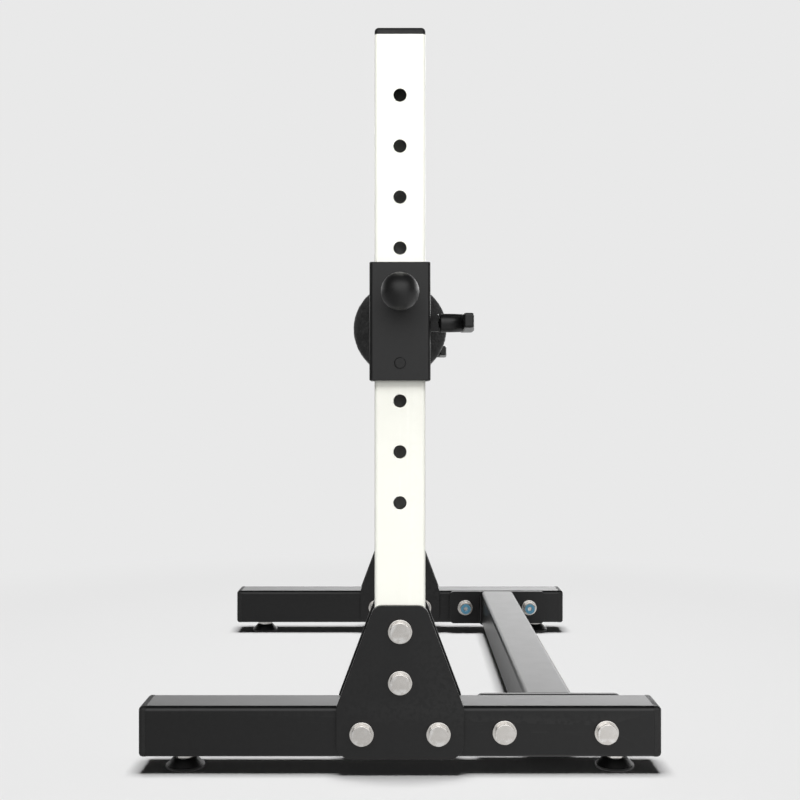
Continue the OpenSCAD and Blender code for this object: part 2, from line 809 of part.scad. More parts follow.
// Radial hole for a set screw, on the underside
module set_screw_hole(d) {
    rotate([-90, 0, 0]) cylinder(h = d, d = set_screw_d + 2 * thread_gap);
}

module axle() {
    color("#b3b1ab") translate([0, 0, sleeve_mid_z]) rotate([90, 0, 0]) difference() {
        cylinder(h = axle_len, d = axle_d, center = true);
        cylinder(h = axle_len + 2 * cut, d = axle_d - 2 * axle_wall, center = true);
    }
}

// Collars beside the roller, with a set screw hole on the underside
module axle_collars() {
    color("#2a2a2c") for (side = [left, right])
        translate([0, side * (collar_y + axle_collar_w / 2), sleeve_mid_z])
            rotate([-90, 0, 0]) difference() {
                cylinder(h = axle_collar_w, d = axle_collar_d, center = true);
                cylinder(h = axle_collar_w + 2 * cut, d = axle_d + 2 * seat_gap, center = true);
                set_screw_hole(axle_collar_d);
            }
}

module set_screws() {
    boss_y = axle_len / 2 - boss_len / 2;
    color("#b9b6ae") for (side = [left, right], y = [boss_y, collar_y + axle_collar_w / 2])
        translate([0, side * y, sleeve_mid_z - axle_d / 2 - set_screw_len]) difference() {
            cylinder(h = set_screw_len, d = set_screw_d);
            translate([0, 0, -cut]) linear_extrude(set_screw_socket_h + cut)
                circle(d = set_screw_socket / cos(30), $fn = 6);
        }
}

// Roller pieces lie along Y, centred between the sleeves
module along_roller() {
    translate([0, 0, sleeve_mid_z]) rotate([90, 0, 0]) children();
}

module foam_roller() {
    color("#1b1b1c") along_roller() rotate_extrude() difference() {
        rounded_box([-foam_d / 2, -foam_len / 2], [foam_d / 2, foam_len / 2], foam_edge_r);
        translate([-foam_d, -foam_len]) square([foam_d + core_d / 2 + foam_gap, 2 * foam_len]);
    }
}

module roller_core() {
    color("#8f9093") along_roller() difference() {
        cylinder(h = foam_len, d = core_d, center = true);
        cylinder(h = foam_len + 2 * cut, d = core_d - 2 * core_wall, center = true);
    }
}

module roller_bushes() {
    color("#1c1c1d") for (side = [left, right])
        translate([0, side * foam_len / 2, sleeve_mid_z]) rotate([-side * 90, 0, 0]) difference() {
            union() {
                cylinder(h = bush_flange_t, d = bush_flange_d);
                translate([0, 0, -bush_len])
                    cylinder(h = bush_len, d = core_d - 2 * core_wall - 2 * seat_gap);
            }
            translate([0, 0, -bush_len - cut])
                cylinder(h = bush_len + bush_flange_t + 2 * cut, d = axle_d + 2 * bush_gap);
        }
}

foot_tube(left);  // left_foot_tube
foot_tube(right);  // right_foot_tube
upright(left);  // left_upright
upright(right);  // right_upright
outer_gusset(left);  // left_outer_gusset
inner_gusset(left);  // left_inner_gusset
outer_gusset(right);  // right_outer_gusset
inner_gusset(right);  // right_inner_gusset
crossbeam();
flange(left);  // left_flange
flange(right);  // right_flange
foot_caps(left);  // left_foot_caps
foot_caps(right);  // right_foot_caps
upright_cap(left);  // left_upright_cap
upright_cap(right);  // right_upright_cap
gusset_bolts();
flange_bolts();
washers();
lock_nuts();
nut_rings();
foot_jam_nuts();
foot_inserts();
foot_pad(left, front);  // left_front_pad
foot_stud(left, front);  // left_front_stud
foot_pad(left, rear);  // left_rear_pad
foot_stud(left, rear);  // left_rear_stud
foot_pad(right, front);  // right_front_pad
foot_stud(right, front);  // right_front_stud
foot_pad(right, rear);  // right_rear_pad
foot_stud(right, rear);  // right_rear_stud
sleeve(left);  // left_sleeve
sleeve(right);  // right_sleeve
liner(left);  // left_liner
liner(right);  // right_liner
liner_plug(left);  // left_liner_plug
liner_plug(right);  // right_liner_plug
pin_housing(left);  // left_pin_housing
pin_housing(right);  // right_pin_housing
pin_spring(left);  // left_pin_spring
pin_spring(right);  // right_pin_spring
clamp_nut(left);  // left_clamp_nut
clamp_nut(right);  // right_clamp_nut
axle_boss(left);  // left_axle_boss
axle_boss(right);  // right_axle_boss
axle();
axle_collars();
set_screws();
plunger(left);  // left_plunger
ball_knob(left);  // left_ball_knob
plunger(right);  // right_plunger
ball_knob(right);  // right_ball_knob
clamp_screw(left);  // left_clamp_screw
tee_handle(left);  // left_tee_handle
clamp_screw(right);  // right_clamp_screw
tee_handle(right);  // right_tee_handle
foam_roller();
roller_core();
roller_bushes();
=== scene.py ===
import json
import math
import bpy
import bmesh
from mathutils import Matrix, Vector


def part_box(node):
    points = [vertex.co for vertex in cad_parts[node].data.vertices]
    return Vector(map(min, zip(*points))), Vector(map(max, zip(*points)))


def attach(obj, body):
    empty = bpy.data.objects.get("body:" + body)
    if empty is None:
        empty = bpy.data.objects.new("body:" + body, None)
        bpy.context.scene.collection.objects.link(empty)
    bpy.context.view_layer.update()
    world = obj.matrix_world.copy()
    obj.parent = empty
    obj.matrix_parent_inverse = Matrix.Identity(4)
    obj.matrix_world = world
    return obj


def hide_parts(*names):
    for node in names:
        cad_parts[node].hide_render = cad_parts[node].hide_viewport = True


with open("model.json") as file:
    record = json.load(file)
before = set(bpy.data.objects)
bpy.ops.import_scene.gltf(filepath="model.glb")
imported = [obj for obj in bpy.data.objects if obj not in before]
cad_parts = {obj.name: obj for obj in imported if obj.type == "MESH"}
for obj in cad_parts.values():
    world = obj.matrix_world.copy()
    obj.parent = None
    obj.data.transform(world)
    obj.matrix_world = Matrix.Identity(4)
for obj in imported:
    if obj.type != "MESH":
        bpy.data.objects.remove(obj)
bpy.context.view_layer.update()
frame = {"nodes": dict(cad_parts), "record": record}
sideNames = {-1: "left", 1: "right"}
sideAxis, footAxis = 0.35, 0.215  # the uprights and the levelling feet, from the middle
tubeHalf = 0.025
near = 0.0001  # how far from its plane a point may lie, when parts of a mesh are picked
print("stage: frame loaded")

# Camera, floor and lamps

cameraLook = {"place": (0, -1.529, 0.3669), "tilt": 90, "lens": 52.94, "nearest": 0.01}
# floor: the mirror values drive a painted reflection that only glossy rays see, and the beam values a painted
# shadow in it beside the crossbeam
floorLook = {"size": 40, "albedo": 0.8, "rough": 0.9, "bounceShare": 0.7, "clear": (0.75, 1.3),
             "backdrop": (0.815, 0.815, 0.815, 1), "mirror": (0.4, 0.98), "mirrorSides": (-0.4, 0.4),
             "mirrorShare": 0.85, "beamShade": 0.3, "beamSides": (0.05, 0.1), "beamEnds": (0.3, 0.4)}
worldLook = {"ambient": 0.022, "studio": 0.08, "wall": (2.05, 5), "wallSides": (-0.37, 0.3),
             "wallDepth": (0.15, 0.6), "wallFoot": (0.05, 0.14), "wallTop": (0.05, 0.55), "canopy": 0.89,
             "canopyDepth": (-0.6, -0.2), "canopyFoot": (0.15, 0.4), "canopyTop": (0.75, 0.9)}
lampLooks = {
    "overheadLamp": {"place": (0, -0.15, 6.5), "aim": (0, -0.15, 0), "size": (2.5, 2.5), "power": 438},
    "frontPanel": {"place": (0.3, -2.9, 1.75), "aim": (0, -0.35, 0.6), "size": (4.6, 3.3), "power": 62},
    "uprightLeftLamp": {"place": (-2.2, -1.3, 0.3), "aim": (0, -0.35, 0.3), "size": (1.5, 1.5), "power": 6.5},
    "uprightRightLamp": {"place": (2.2, -1.3, 0.3), "aim": (0, -0.35, 0.3), "size": (1.5, 1.5), "power": 5.5},
    "uprightLamp": {"place": (0, -4, 7), "aim": (0, -0.35, 0.4), "size": (9, 3.5), "power": 900},
    "uprightBackLamp": {"place": (0, 3.6, 2.6), "aim": (0, 0.35, 0.4), "size": (3, 3), "power": 110},
}


def addCamera(look):
    camera = bpy.data.cameras.new("camera")
    camera.lens = look["lens"]
    camera.clip_start = look["nearest"]
    holder = bpy.data.objects.new("camera", camera)
    holder.location = look["place"]
    holder.rotation_euler = (math.radians(look["tilt"]), 0, 0)
    bpy.context.scene.collection.objects.link(holder)
    bpy.context.scene.camera = holder


def addLamp(name, look):
    lamp = bpy.data.lights.new(name, "AREA")
    lamp.shape = "RECTANGLE"
    lamp.size, lamp.size_y = look["size"]
    lamp.energy = look["power"]
    holder = bpy.data.objects.new(name, lamp)
    holder.location = look["place"]
    aim = Vector(look["aim"]) - Vector(look["place"])
    holder.rotation_euler = aim.to_track_quat("-Z", "Y").to_euler()
    bpy.context.scene.collection.objects.link(holder)


def addNode(tree, kind, **settings):
    node = tree.nodes.new(kind)
    for key, value in settings.items():
        setattr(node, key, value)
    return node


def setInputs(node, **values):
    for key, value in values.items():
        node.inputs[key].default_value = value
    return node


def wire(tree, source, target):  # the source is another node's output, or a plain value
    if isinstance(source, bpy.types.NodeSocket):
        tree.links.new(source, target)
    elif source is not None:
        target.default_value = source


def mathNode(tree, operation, first, second=None, clamp=False):
    node = addNode(tree, "ShaderNodeMath", operation=operation, use_clamp=clamp)
    wire(tree, first, node.inputs[0])
    wire(tree, second, node.inputs[1])
    return node.outputs[0]


def times(tree, first, second):
    return mathNode(tree, "MULTIPLY", first, second)


def rangeNode(tree, value, low, high, toLow=0.0, toHigh=1.0):
    node = addNode(tree, "ShaderNodeMapRange", interpolation_type="SMOOTHSTEP")
    wire(tree, value, node.inputs["Value"])
    setInputs(node, **{"From Min": low, "From Max": high, "To Min": toLow, "To Max": toHigh})
    return node.outputs["Result"]


def placeNode(tree, space="Object"):
    return addNode(tree, "ShaderNodeTexCoord").outputs[space]


def splitNode(tree, place):
    node = addNode(tree, "ShaderNodeSeparateXYZ")
    wire(tree, place, node.inputs[0])
    return node.outputs


def glowNode(tree, kind, color, strength):
    node = setInputs(addNode(tree, "ShaderNode" + kind), Color=color)
    wire(tree, strength, node.inputs["Strength"])
    return node.outputs[0]


def mixShader(tree, *sources):  # factor, first and second
    node = addNode(tree, "ShaderNodeMixShader")
    for place, source in enumerate(sources):
        wire(tree, source, node.inputs[place])
    return node.outputs[0]


def addWorld(look, floor):  # what shiny coats mirror: a wall behind and a canopy above the camera
    world = bpy.data.worlds.new("studio")
    bpy.context.scene.world = world
    world.use_nodes = True
    tree = world.node_tree
    tree.nodes.clear()
    across, along, up = splitNode(tree, placeNode(tree, "Generated"))
    tall = times(tree, rangeNode(tree, up, *look["wallTop"], 1, 0), rangeNode(tree, up, *look["wallFoot"]))
    wall = times(tree, times(tree, rangeNode(tree, along, *look["wallDepth"]), tall),
                 rangeNode(tree, across, *look["wallSides"], *look["wall"]))
    before = rangeNode(tree, along, *look["canopyDepth"], look["canopy"], 0)
    band = times(tree, rangeNode(tree, up, *look["canopyFoot"]),
                 rangeNode(tree, up, *look["canopyTop"], 1, 0))
    seen = mathNode(tree, "MAXIMUM", mathNode(tree, "ADD", wall, times(tree, before, band)), look["studio"])
    rays = addNode(tree, "ShaderNodeLightPath").outputs
    shiny = mathNode(tree, "ADD", rays["Is Glossy Ray"], rays["Is Transmission Ray"], True)
    dim = glowNode(tree, "Background", (1, 1, 1, 1), look["ambient"])
    mirrored = glowNode(tree, "Background", (1, 1, 1, 1), seen)
    plain = glowNode(tree, "Background", floor["backdrop"], 1)
    shown = mixShader(tree, rays["Is Camera Ray"], mixShader(tree, shiny, dim, mirrored), plain)
    wire(tree, shown, addNode(tree, "ShaderNodeOutputWorld").inputs["Surface"])


def addFloor(look):  # pale for lamps, clear backdrop far off, and a level of its own where coats mirror it
    bpy.ops.mesh.primitive_plane_add(size=look["size"], location=(0, 0, 0))
    floor = bpy.context.object
    floor.name = "floor"
    material = bpy.data.materials.new("paleFloor")
    material.use_nodes = True
    tree = material.node_tree
    shader = tree.nodes["Principled BSDF"]
    grey = look["albedo"]
    setInputs(shader, **{"Base Color": (grey, grey, grey, 1), "Roughness": look["rough"],
                         "Specular IOR Level": 0})
    place = placeNode(tree)
    reach = addNode(tree, "ShaderNodeVectorMath", operation="LENGTH")
    wire(tree, place, reach.inputs[0])
    rays = addNode(tree, "ShaderNodeLightPath").outputs
    clear = times(tree, rangeNode(tree, reach.outputs["Value"], *look["clear"]), rays["Is Camera Ray"])
    across, along = splitNode(tree, place)[:2]
    # painted reflection: the floor glows for glossy rays, dimmer to the left and brighter to the right
    level = rangeNode(tree, across, *look["mirrorSides"], *look["mirror"])
    # painted shadow in that reflection, along both sides of the crossbeam
    low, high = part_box("crossbeam")
    aside = mathNode(tree, "ABSOLUTE", mathNode(tree, "SUBTRACT", across, (low.x + high.x) / 2))
    under = times(tree, rangeNode(tree, aside, *look["beamSides"], 1, 0),
                  rangeNode(tree, mathNode(tree, "ABSOLUTE", along), *look["beamEnds"], 1, 0))
    shade = rangeNode(tree, under, 0, 1, 1, look["beamShade"])
    # the glow that coats mirror is a painted reflection, not a lamp
    sheen = glowNode(tree, "Emission", (1, 1, 1, 1), times(tree, level, shade))
    nothing = glowNode(tree, "Emission", (1, 1, 1, 1), 0)
    backdrop = glowNode(tree, "Emission", look["backdrop"], 1)
    bounce = times(tree, rays["Is Diffuse Ray"], look["bounceShare"])
    dimmed = mixShader(tree, bounce, shader.outputs[0], nothing)
    inner = mixShader(tree, times(tree, rays["Is Glossy Ray"], look["mirrorShare"]), dimmed, sheen)
    wire(tree, mixShader(tree, clear, inner, backdrop), tree.nodes["Material Output"].inputs["Surface"])
    floor.data.materials.append(material)


bpy.ops.object.select_all(action="DESELECT")
bpy.context.scene.view_settings.view_transform = "Standard"
addCamera(cameraLook)
addWorld(worldLook, floorLook)
addFloor(floorLook)
for lampName, lampLook in lampLooks.items():
    addLamp(lampName, lampLook)
print("stage: camera and lamps")

# Shared surface effects, as node groups


def startGroup(name, inputs, outputs):
    group = bpy.data.node_groups.new(name, "ShaderNodeTree")
    for label, value in inputs.items():
        socket = group.interface.new_socket(name=label, in_out="INPUT", socket_type="NodeSocketFloat")
        socket.default_value = value
    for label in outputs:
        group.interface.new_socket(name=label, in_out="OUTPUT", socket_type="NodeSocketFloat")
    return group, addNode(group, "NodeGroupInput"), addNode(group, "NodeGroupOutput")


def noiseNode(tree, place, scale, detail=3.0):
    node = setInputs(addNode(tree, "ShaderNodeTexNoise"), Detail=detail)
    wire(tree, place, node.inputs["Vector"])
    wire(tree, scale, node.inputs["Scale"])
    return node.outputs[0]


def skinGroup(name, scales, details, cells=None, cellShare=None, tones=(0.3, 0.7)):  # fine relief, slow tone
    group, entry, leave = startGroup(name, scales, ("Height", "Tone"))
    place = placeNode(group)
    fine, slow = (entry.outputs[label] for label in scales)
    tone = noiseNode(group, place, slow, details[-1])
    if cells:
        node = addNode(group, "ShaderNodeTexVoronoi", feature=cells)
        wire(group, place, node.inputs["Vector"])
        wire(group, fine, node.inputs["Scale"])
        height = node.outputs["Distance"]
    else:
        height = noiseNode(group, place, fine, details[0])
    if cellShare:
        height = mathNode(group, "ADD", times(group, height, cellShare), tone)
    wire(group, height, leave.inputs["Height"])
    wire(group, rangeNode(group, tone, *tones), leave.inputs["Tone"])
    return group


def edgeRubGroup():  # 1 on convex edges, broken up by noise
    group, entry, leave = startGroup("edgeRub", {"Start": 0.52, "End": 0.6}, ("Edge",))
    bent = addNode(group, "ShaderNodeNewGeometry").outputs["Pointiness"]
    edge = addNode(group, "ShaderNodeMapRange")
    wire(group, bent, edge.inputs["Value"])
    wire(group, entry.outputs["Start"], edge.inputs["From Min"])
    wire(group, entry.outputs["End"], edge.inputs["From Max"])
    place = placeNode(group)
    broken = rangeNode(group, noiseNode(group, place, 220), 0.35, 0.6)
    wire(group, times(group, edge.outputs["Result"], broken), leave.inputs["Edge"])
    return group


skins = {
    # sprayed powder: fine peel, and a slow change of tone
    "coat": skinGroup("coatSkin", {"Peel": 750, "Blotch": 45}, (3, 4)),
    # moulded plastic: spark grain, and faint flow marks
    "mould": skinGroup("mouldSkin", {"Grain": 1500, "Flow": 30}, (2,), "F1"),
    # closed-cell foam: cells on a coarse crumpled skin
    "foam": skinGroup("foamSkin", {"Cells": 520, "Crumple": 130}, (4,), "SMOOTH_F1", 0.6, (0.35, 0.65)),
    # plated or turned metal: fine tumbling marks and cloudy plating
    "metal": skinGroup("metalSkin", {"Marks": 1800, "Cloud": 160}, (5, 5)),
}
edgeRub = edgeRubGroup()

# Finishes, one dictionary for each slot of the record

finishLooks = {
    "black_coat": {"color": (0.0105, 0.0105, 0.0107), "dark": 0.97, "skin": "coat", "rough": (0.33, 0.34),
                   "spec": 0.38, "bump": 0.035, "rub": (0.02, 0.02, 0.02)},
    # white_coat: the bore grey inside the uprights and the near-black on the walls of their holes are painted
    # shade
    "white_coat": {"color": (0.9, 0.9, 0.825), "dark": 0.99, "skin": "coat", "rough": (0.33, 0.4),
                   "bump": 0.04, "rub": (0.93, 0.93, 0.86), "bore": (0.68, 0.68, 0.66), "boreReach": 0.0223,
                   "paintedHoleShade": (0.012, 0.012, 0.012), "wallReach": 0.0246, "holeSide": 0.02},
    "black_plastic": {"color": (0.013, 0.013, 0.013), "dark": 0.88, "skin": "mould", "rough": (0.46, 0.54),
                      "spec": 0.4, "bump": 0.12, "rub": (0.025, 0.025, 0.025)},
    "zinc": {"color": (0.67, 0.645, 0.615), "dark": 0.95, "skin": "metal", "rough": (0.21, 0.27),
             "bump": 0.02, "rub": (0.8, 0.79, 0.77), "metallic": 1},
    "bright_steel": {"color": (0.56, 0.56, 0.56), "dark": 0.85, "skin": "metal", "rough": (0.22, 0.32),
                     "bump": 0.03, "rub": (0.72, 0.72, 0.72), "metallic": 1},
    "blue_nylon": {"color": (0.2, 0.56, 0.82), "dark": 0.9, "skin": "mould", "rough": (0.34, 0.44),
                   "bump": 0.05, "rub": (0.26, 0.62, 0.86)},
    # foam: the lighter grazing colour below is a painted sheen on its rim, lighter where the surface turns
    # away from the view
    "foam": {"color": (0.021, 0.021, 0.0215), "dark": 0.5, "skin": "foam", "rough": (0.6, 0.8),
             "sheen": 0.6, "bump": 0.9, "paintedSheen": (0.35, 0.35, 0.35), "rub": (0.04, 0.04, 0.04)},
    "aluminium_tube": {"color": (0.6, 0.6, 0.61), "dark": 0.9, "skin": "metal", "rough": (0.3, 0.38),
                       "bump": 0.03, "rub": (0.7, 0.7, 0.7), "metallic": 1},
    "knob_plastic": {"color": (0.01, 0.01, 0.01), "dark": 0.9, "skin": "mould", "rough": (0.42, 0.48),
                     "spec": 0.4, "bump": 0.03, "rub": (0.015, 0.015, 0.015)},
}


def mixColor(tree, factor, first, second):
    node = addNode(tree, "ShaderNodeMix", data_type="RGBA")
    wire(tree, factor, node.inputs["Factor"])
    for place, value in ((6, first), (7, second)):  # the two colour sockets
        wire(tree, value + (1,) if isinstance(value, tuple) else value, node.inputs[place])
    return node.outputs[2]


# masks for painted shade: a darker grey inside the uprights' bores, and near-black on the walls of their
# holes
def boreAndHoleShadeMasks(tree, look):  # 1 on the uprights' bores, and 1 on the walls of their holes
    x, y = (mathNode(tree, "ABSOLUTE", value) for value in splitNode(tree, placeNode(tree))[:2])
    across, along = x, mathNode(tree, "ABSOLUTE", mathNode(tree, "SUBTRACT", y, sideAxis))
    most = mathNode(tree, "MAXIMUM", across, along)
    flat = mathNode(tree, "LESS_THAN", mathNode(tree, "MINIMUM", across, along), look["holeSide"])
    wall = times(tree, mathNode(tree, "LESS_THAN", most, look["wallReach"]), flat)
    return mathNode(tree, "LESS_THAN", most, look["boreReach"]), wall


def makeFinish(name, look):
    material = bpy.data.materials.new(name)
    material.use_nodes = True
    tree = material.node_tree
    shader = tree.nodes["Principled BSDF"]
    setInputs(shader, **{"Metallic": look.get("metallic", 0), "Specular IOR Level": look.get("spec", 0.5),
                         "Sheen Weight": look.get("sheen", 0), "Sheen Roughness": 0.4})
    skin = addNode(tree, "ShaderNodeGroup", node_tree=skins[look["skin"]])
    rub = addNode(tree, "ShaderNodeGroup", node_tree=edgeRub)
    darker = tuple(value * look["dark"] for value in look["color"])
    body = mixColor(tree, skin.outputs["Tone"], darker, look["color"])
    wearAndPaintedLight = mixColor(tree, rub.outputs["Edge"], body, look["rub"])
    # painted sheen: the colour turns lighter where the surface turns away from the view
    if "paintedSheen" in look:
        turnedAway = addNode(tree, "ShaderNodeLayerWeight").outputs["Facing"]
        wearAndPaintedLight = mixColor(tree, mathNode(tree, "POWER", turnedAway, 2), wearAndPaintedLight, look["paintedSheen"])
    # painted shade: a darker grey inside the uprights' bores, near-black on the walls of their holes
    if "bore" in look:
        bore, wall = boreAndHoleShadeMasks(tree, look)
        wearAndPaintedLight = mixColor(tree, bore, mixColor(tree, wall, wearAndPaintedLight, look["paintedHoleShade"]), look["bore"])
    wire(tree, wearAndPaintedLight, shader.inputs["Base Color"])
    low, high = look["rough"]
    wire(tree, rangeNode(tree, skin.outputs["Tone"], 0, 1, low, high), shader.inputs["Roughness"])
    bump = setInputs(addNode(tree, "ShaderNodeBump"), Strength=look["bump"], Distance=0.001)
    wire(tree, skin.outputs["Height"], bump.inputs["Height"])
    wire(tree, bump.outputs["Normal"], shader.inputs["Normal"])
    return material


finishes = {name: makeFinish(name, look) for name, look in finishLooks.items()}
slotOf = {part["node"]: part["material_slot"] for part in frame["record"]["subparts"]}
for node, slot in slotOf.items():
    for place in frame["nodes"][node].material_slots:
        place.material = finishes[slot]
print("stage: finishes")

# Workshop: the few moves that every piece is made with

turns = {-1: (math.pi / 2, 0, 0), 1: (-math.pi / 2, 0, 0)}  # a piece's own Z, turned outwards on its side
acrossY = (math.pi / 2, 0, 0)
acrossX = (0, math.pi / 2, 0)
boltHole = 0.00625
throughTube, throughWall = 0.1, 0.02  # lengths of drills


def clearSelection():
    bpy.ops.object.select_all(action="DESELECT")


def pickPiece(piece):
    clearSelection()
    piece.select_set(True)
    bpy.context.view_layer.objects.active = piece


def settle(name):
    piece = bpy.context.object
    bpy.ops.object.transform_apply(location=True, rotation=True, scale=True)
    piece.name = name
    piece.data.name = name
    return piece


def editing(piece):
    pickPiece(piece)
    bpy.ops.object.mode_set(mode="EDIT")


def editDone():
    bpy.ops.object.mode_set(mode="OBJECT")


def selectMesh():
    bpy.ops.mesh.select_all(action="SELECT")


def choose(kind, test):
    bpy.ops.mesh.select_mode(type=kind)
    bpy.ops.mesh.select_all(action="DESELECT")
    mesh = bmesh.from_edit_mesh(bpy.context.object.data)
    for part in {"VERT": mesh.verts, "EDGE": mesh.edges, "FACE": mesh.faces}[kind]:
        if test(part):
            part.select_set(True)
    mesh.select_flush_mode()
    bmesh.update_edit_mesh(bpy.context.object.data)


def runsAlong(edge, axis):
    step = edge.verts[0].co - edge.verts[1].co
    return abs(step[axis]) > 0.99 * step.length


def middleOf(edge):
    return (edge.verts[0].co + edge.verts[1].co) / 2


def bevelEdges(width, steps):
    bpy.ops.mesh.bevel(offset=width, segments=steps, affect="EDGES")


def useModifier(piece, kind, **settings):
    pickPiece(piece)
    bpy.ops.object.modifier_add(type=kind)
    modifier = piece.modifiers[-1]
    for key, value in settings.items():
        setattr(modifier, key, value)
    bpy.ops.object.modifier_apply(modifier=modifier.name)


def combine(piece, tool, operation):
    useModifier(piece, "BOOLEAN", object=tool, operation=operation, solver="EXACT")
    bpy.data.objects.remove(tool)


def smoothPiece(piece, angle=40):
    pickPiece(piece)
    bpy.ops.object.shade_smooth_by_angle(angle=math.radians(angle))
    useModifier(piece, "WEIGHTED_NORMAL", keep_sharp=True)


def softenEdges(piece, width, steps=3, angle=35):
    useModifier(piece, "BEVEL", width=width, segments=steps, limit_method="ANGLE",
                angle_limit=math.radians(angle))
    smoothPiece(piece)


def addBlock(name, low, high):
    clearSelection()
    low, high = Vector(low), Vector(high)
    bpy.ops.mesh.primitive_cube_add(size=1, location=(low + high) / 2, scale=high - low)
    return settle(name)


def addRod(name, radius, length, place, turn=(0, 0, 0), sides=48):
    clearSelection()
    bpy.ops.mesh.primitive_cylinder_add(vertices=sides, radius=radius, depth=length, location=place,
                                        rotation=turn)
    return settle(name)


def ringRatio(before, after):  # a third value makes the ring oval: its half depth
    old, new = ((point[0], point[2] if len(point) > 2 else point[0]) for point in (before, after))
    return new[0] / old[0], new[1] / old[1], 1


def addTurned(name, profile, sides=72, ring=False):  # profile of (radius, height), from the bottom up
    clearSelection()
    bpy.ops.mesh.primitive_circle_add(vertices=sides, radius=profile[0][0], location=(0, 0, profile[0][1]),
                                      fill_type="NOTHING" if ring else "NGON")
    piece = settle(name)
    editing(piece)
    bpy.ops.mesh.select_mode(type="EDGE")
    selectMesh()
    for before, after in zip(profile, profile[1:]):
        bpy.ops.mesh.extrude_edges_move(TRANSFORM_OT_translate={"value": (0, 0, after[1] - before[1])})
        bpy.ops.transform.resize(value=ringRatio(before, after), center_override=(0, 0, after[1]))
    if ring:
        bpy.ops.mesh.select_mode(type="EDGE")
        bpy.ops.mesh.select_all(action="DESELECT")
        bpy.ops.mesh.select_non_manifold()
        bpy.ops.mesh.bridge_edge_loops()
    else:
        bpy.ops.mesh.edge_face_add()
    selectMesh()
    bpy.ops.mesh.normals_make_consistent(inside=False)
    editDone()
    return piece


def arcProfile(middle, radius, start, end, steps=6):  # from one angle to another, in degrees
    angles = [math.radians(start + (end - start) * step / steps) for step in range(steps + 1)]
    return [(middle[0] + radius * math.cos(angle), middle[1] + radius * math.sin(angle)) for angle in angles]


def movePiece(piece, place, turn=(0, 0, 0), name=None):
    pickPiece(piece)
    piece.location = place
    piece.rotation_euler = turn
    return settle(name or piece.name)


def joinPieces(name, pieces):
    clearSelection()
    for piece in pieces:
        piece.select_set(True)
    bpy.context.view_layer.objects.active = pieces[0]
    if len(pieces) > 1:
        bpy.ops.object.join()
    return settle(name)


def copyPiece(master, name, place, turn=(0, 0, 0)):  # the copy has its own mesh
    copy = master.copy()
    copy.data = master.data.copy()
    bpy.context.scene.collection.objects.link(copy)
    return movePiece(copy, place, turn, name)


def placeCopies(name, master, spots):  # spots of (place, turn), joined as one piece
    copies = [copyPiece(master, name, place, turn) for place, turn in spots]
    bpy.data.objects.remove(master)
    return joinPieces(name, copies)


def finishPiece(piece, body, *nodes):  # a weld bead, which stands for no node, is coated with the frame
    finish = slotOf[nodes[0]] if nodes else "black_coat"
    piece.data.materials.clear()
    piece.data.materials.append(finishes[finish])
    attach(piece, body)
    if nodes:
        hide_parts(*nodes)


def cutHoles(piece, spots, radius, length, turn):
    drills = [addRod("drill", radius, length, spot, turn) for spot in spots]
    combine(piece, joinPieces("drills", drills), "DIFFERENCE")


def addTube(name, node, axis, look):
    low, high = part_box(node)
    tube = addBlock(name, low, high)
    editing(tube)
    choose("EDGE", lambda edge: runsAlong(edge, axis))
    bevelEdges(look["corner"], look["steps"])
    choose("FACE", lambda face: abs(face.normal[axis]) > 0.9)
    bpy.ops.mesh.delete(type="ONLY_FACE")
    editDone()
    useModifier(tube, "SOLIDIFY", thickness=look["wall"], offset=-1, use_even_offset=True)
    return tube


# Frame tubes

tubeLook = {"corner": 0.004, "wall": 0.003, "steps": 6, "edge": 0.0005}
footTubeLook = {"corner": 0.005, "wall": 0.003, "steps": 7, "edge": 0.0005}
holeLook = {"lowest": 0.266, "pitch": 0.05, "count": 9, "radius": 0.0065}
boltSpots = {"gusset": ((0, 0.091), (0, 0.141), (-0.0375, 0.041), (0.0375, 0.041)),
             "flange": ((0.1025, 0.041), (0.2025, 0.041))}


def addFootTube(side):
    name = sideNames[side]
    tube = addTube(name + "FootTubeShell", name + "_foot_tube", 0, footTubeLook)
    spots = [(x, side * sideAxis, z) for x, z in boltSpots["gusset"][2:] + boltSpots["flange"]]
    cutHoles(tube, spots, boltHole, throughTube, acrossY)
    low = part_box(name + "_foot_tube")[0].z
    spots = [(end * footAxis, side * sideAxis, low) for end in (-1, 1)]
    cutHoles(tube, spots, boltHole, throughWall, (0, 0, 0))
    softenEdges(tube, footTubeLook["edge"])
    finishPiece(tube, "frame", name + "_foot_tube")


def addUpright(side):
    name = sideNames[side]
    tube = addTube(name + "UprightShell", name + "_upright", 2, tubeLook)
    spots = [(x, side * sideAxis, z) for x, z in boltSpots["gusset"][:2]]
    cutHoles(tube, spots, boltHole, throughTube, acrossY)
    heights = [holeLook["lowest"] + step * holeLook["pitch"] for step in range(holeLook["count"])]
    spots = [(0, side * (sideAxis + tubeHalf), height) for height in heights]
    cutHoles(tube, spots, holeLook["radius"], throughWall, acrossY)
    softenEdges(tube, tubeLook["edge"])
    finishPiece(tube, "frame", name + "_upright")


def addCrossbeam():
    beam = addTube("crossbeamShell", "crossbeam", 1, footTubeLook)
    softenEdges(beam, footTubeLook["edge"])
    finishPiece(beam, "frame", "crossbeam")


for side in sideNames:
    addFootTube(side)
    addUpright(side)
addCrossbeam()
print("stage: frame tubes")

# Gusset and flange plates

gussetLook = {"shoulder": 0.066, "topHalf": 0.025, "lowRound": 0.015, "sideRound": 0.004, "topRound": 0.01,
              "edge": 0.0007}
flangeLook = {"round": 0.0075, "edge": 0.0007}


def roundCorners(test, radius, corner=90):  # corner is the angle inside the plate, in degrees
    choose("EDGE", lambda edge: runsAlong(edge, 1) and test(middleOf(edge)))
    reach = radius / math.tan(math.radians(corner) / 2)
    bevelEdges(reach, 8)


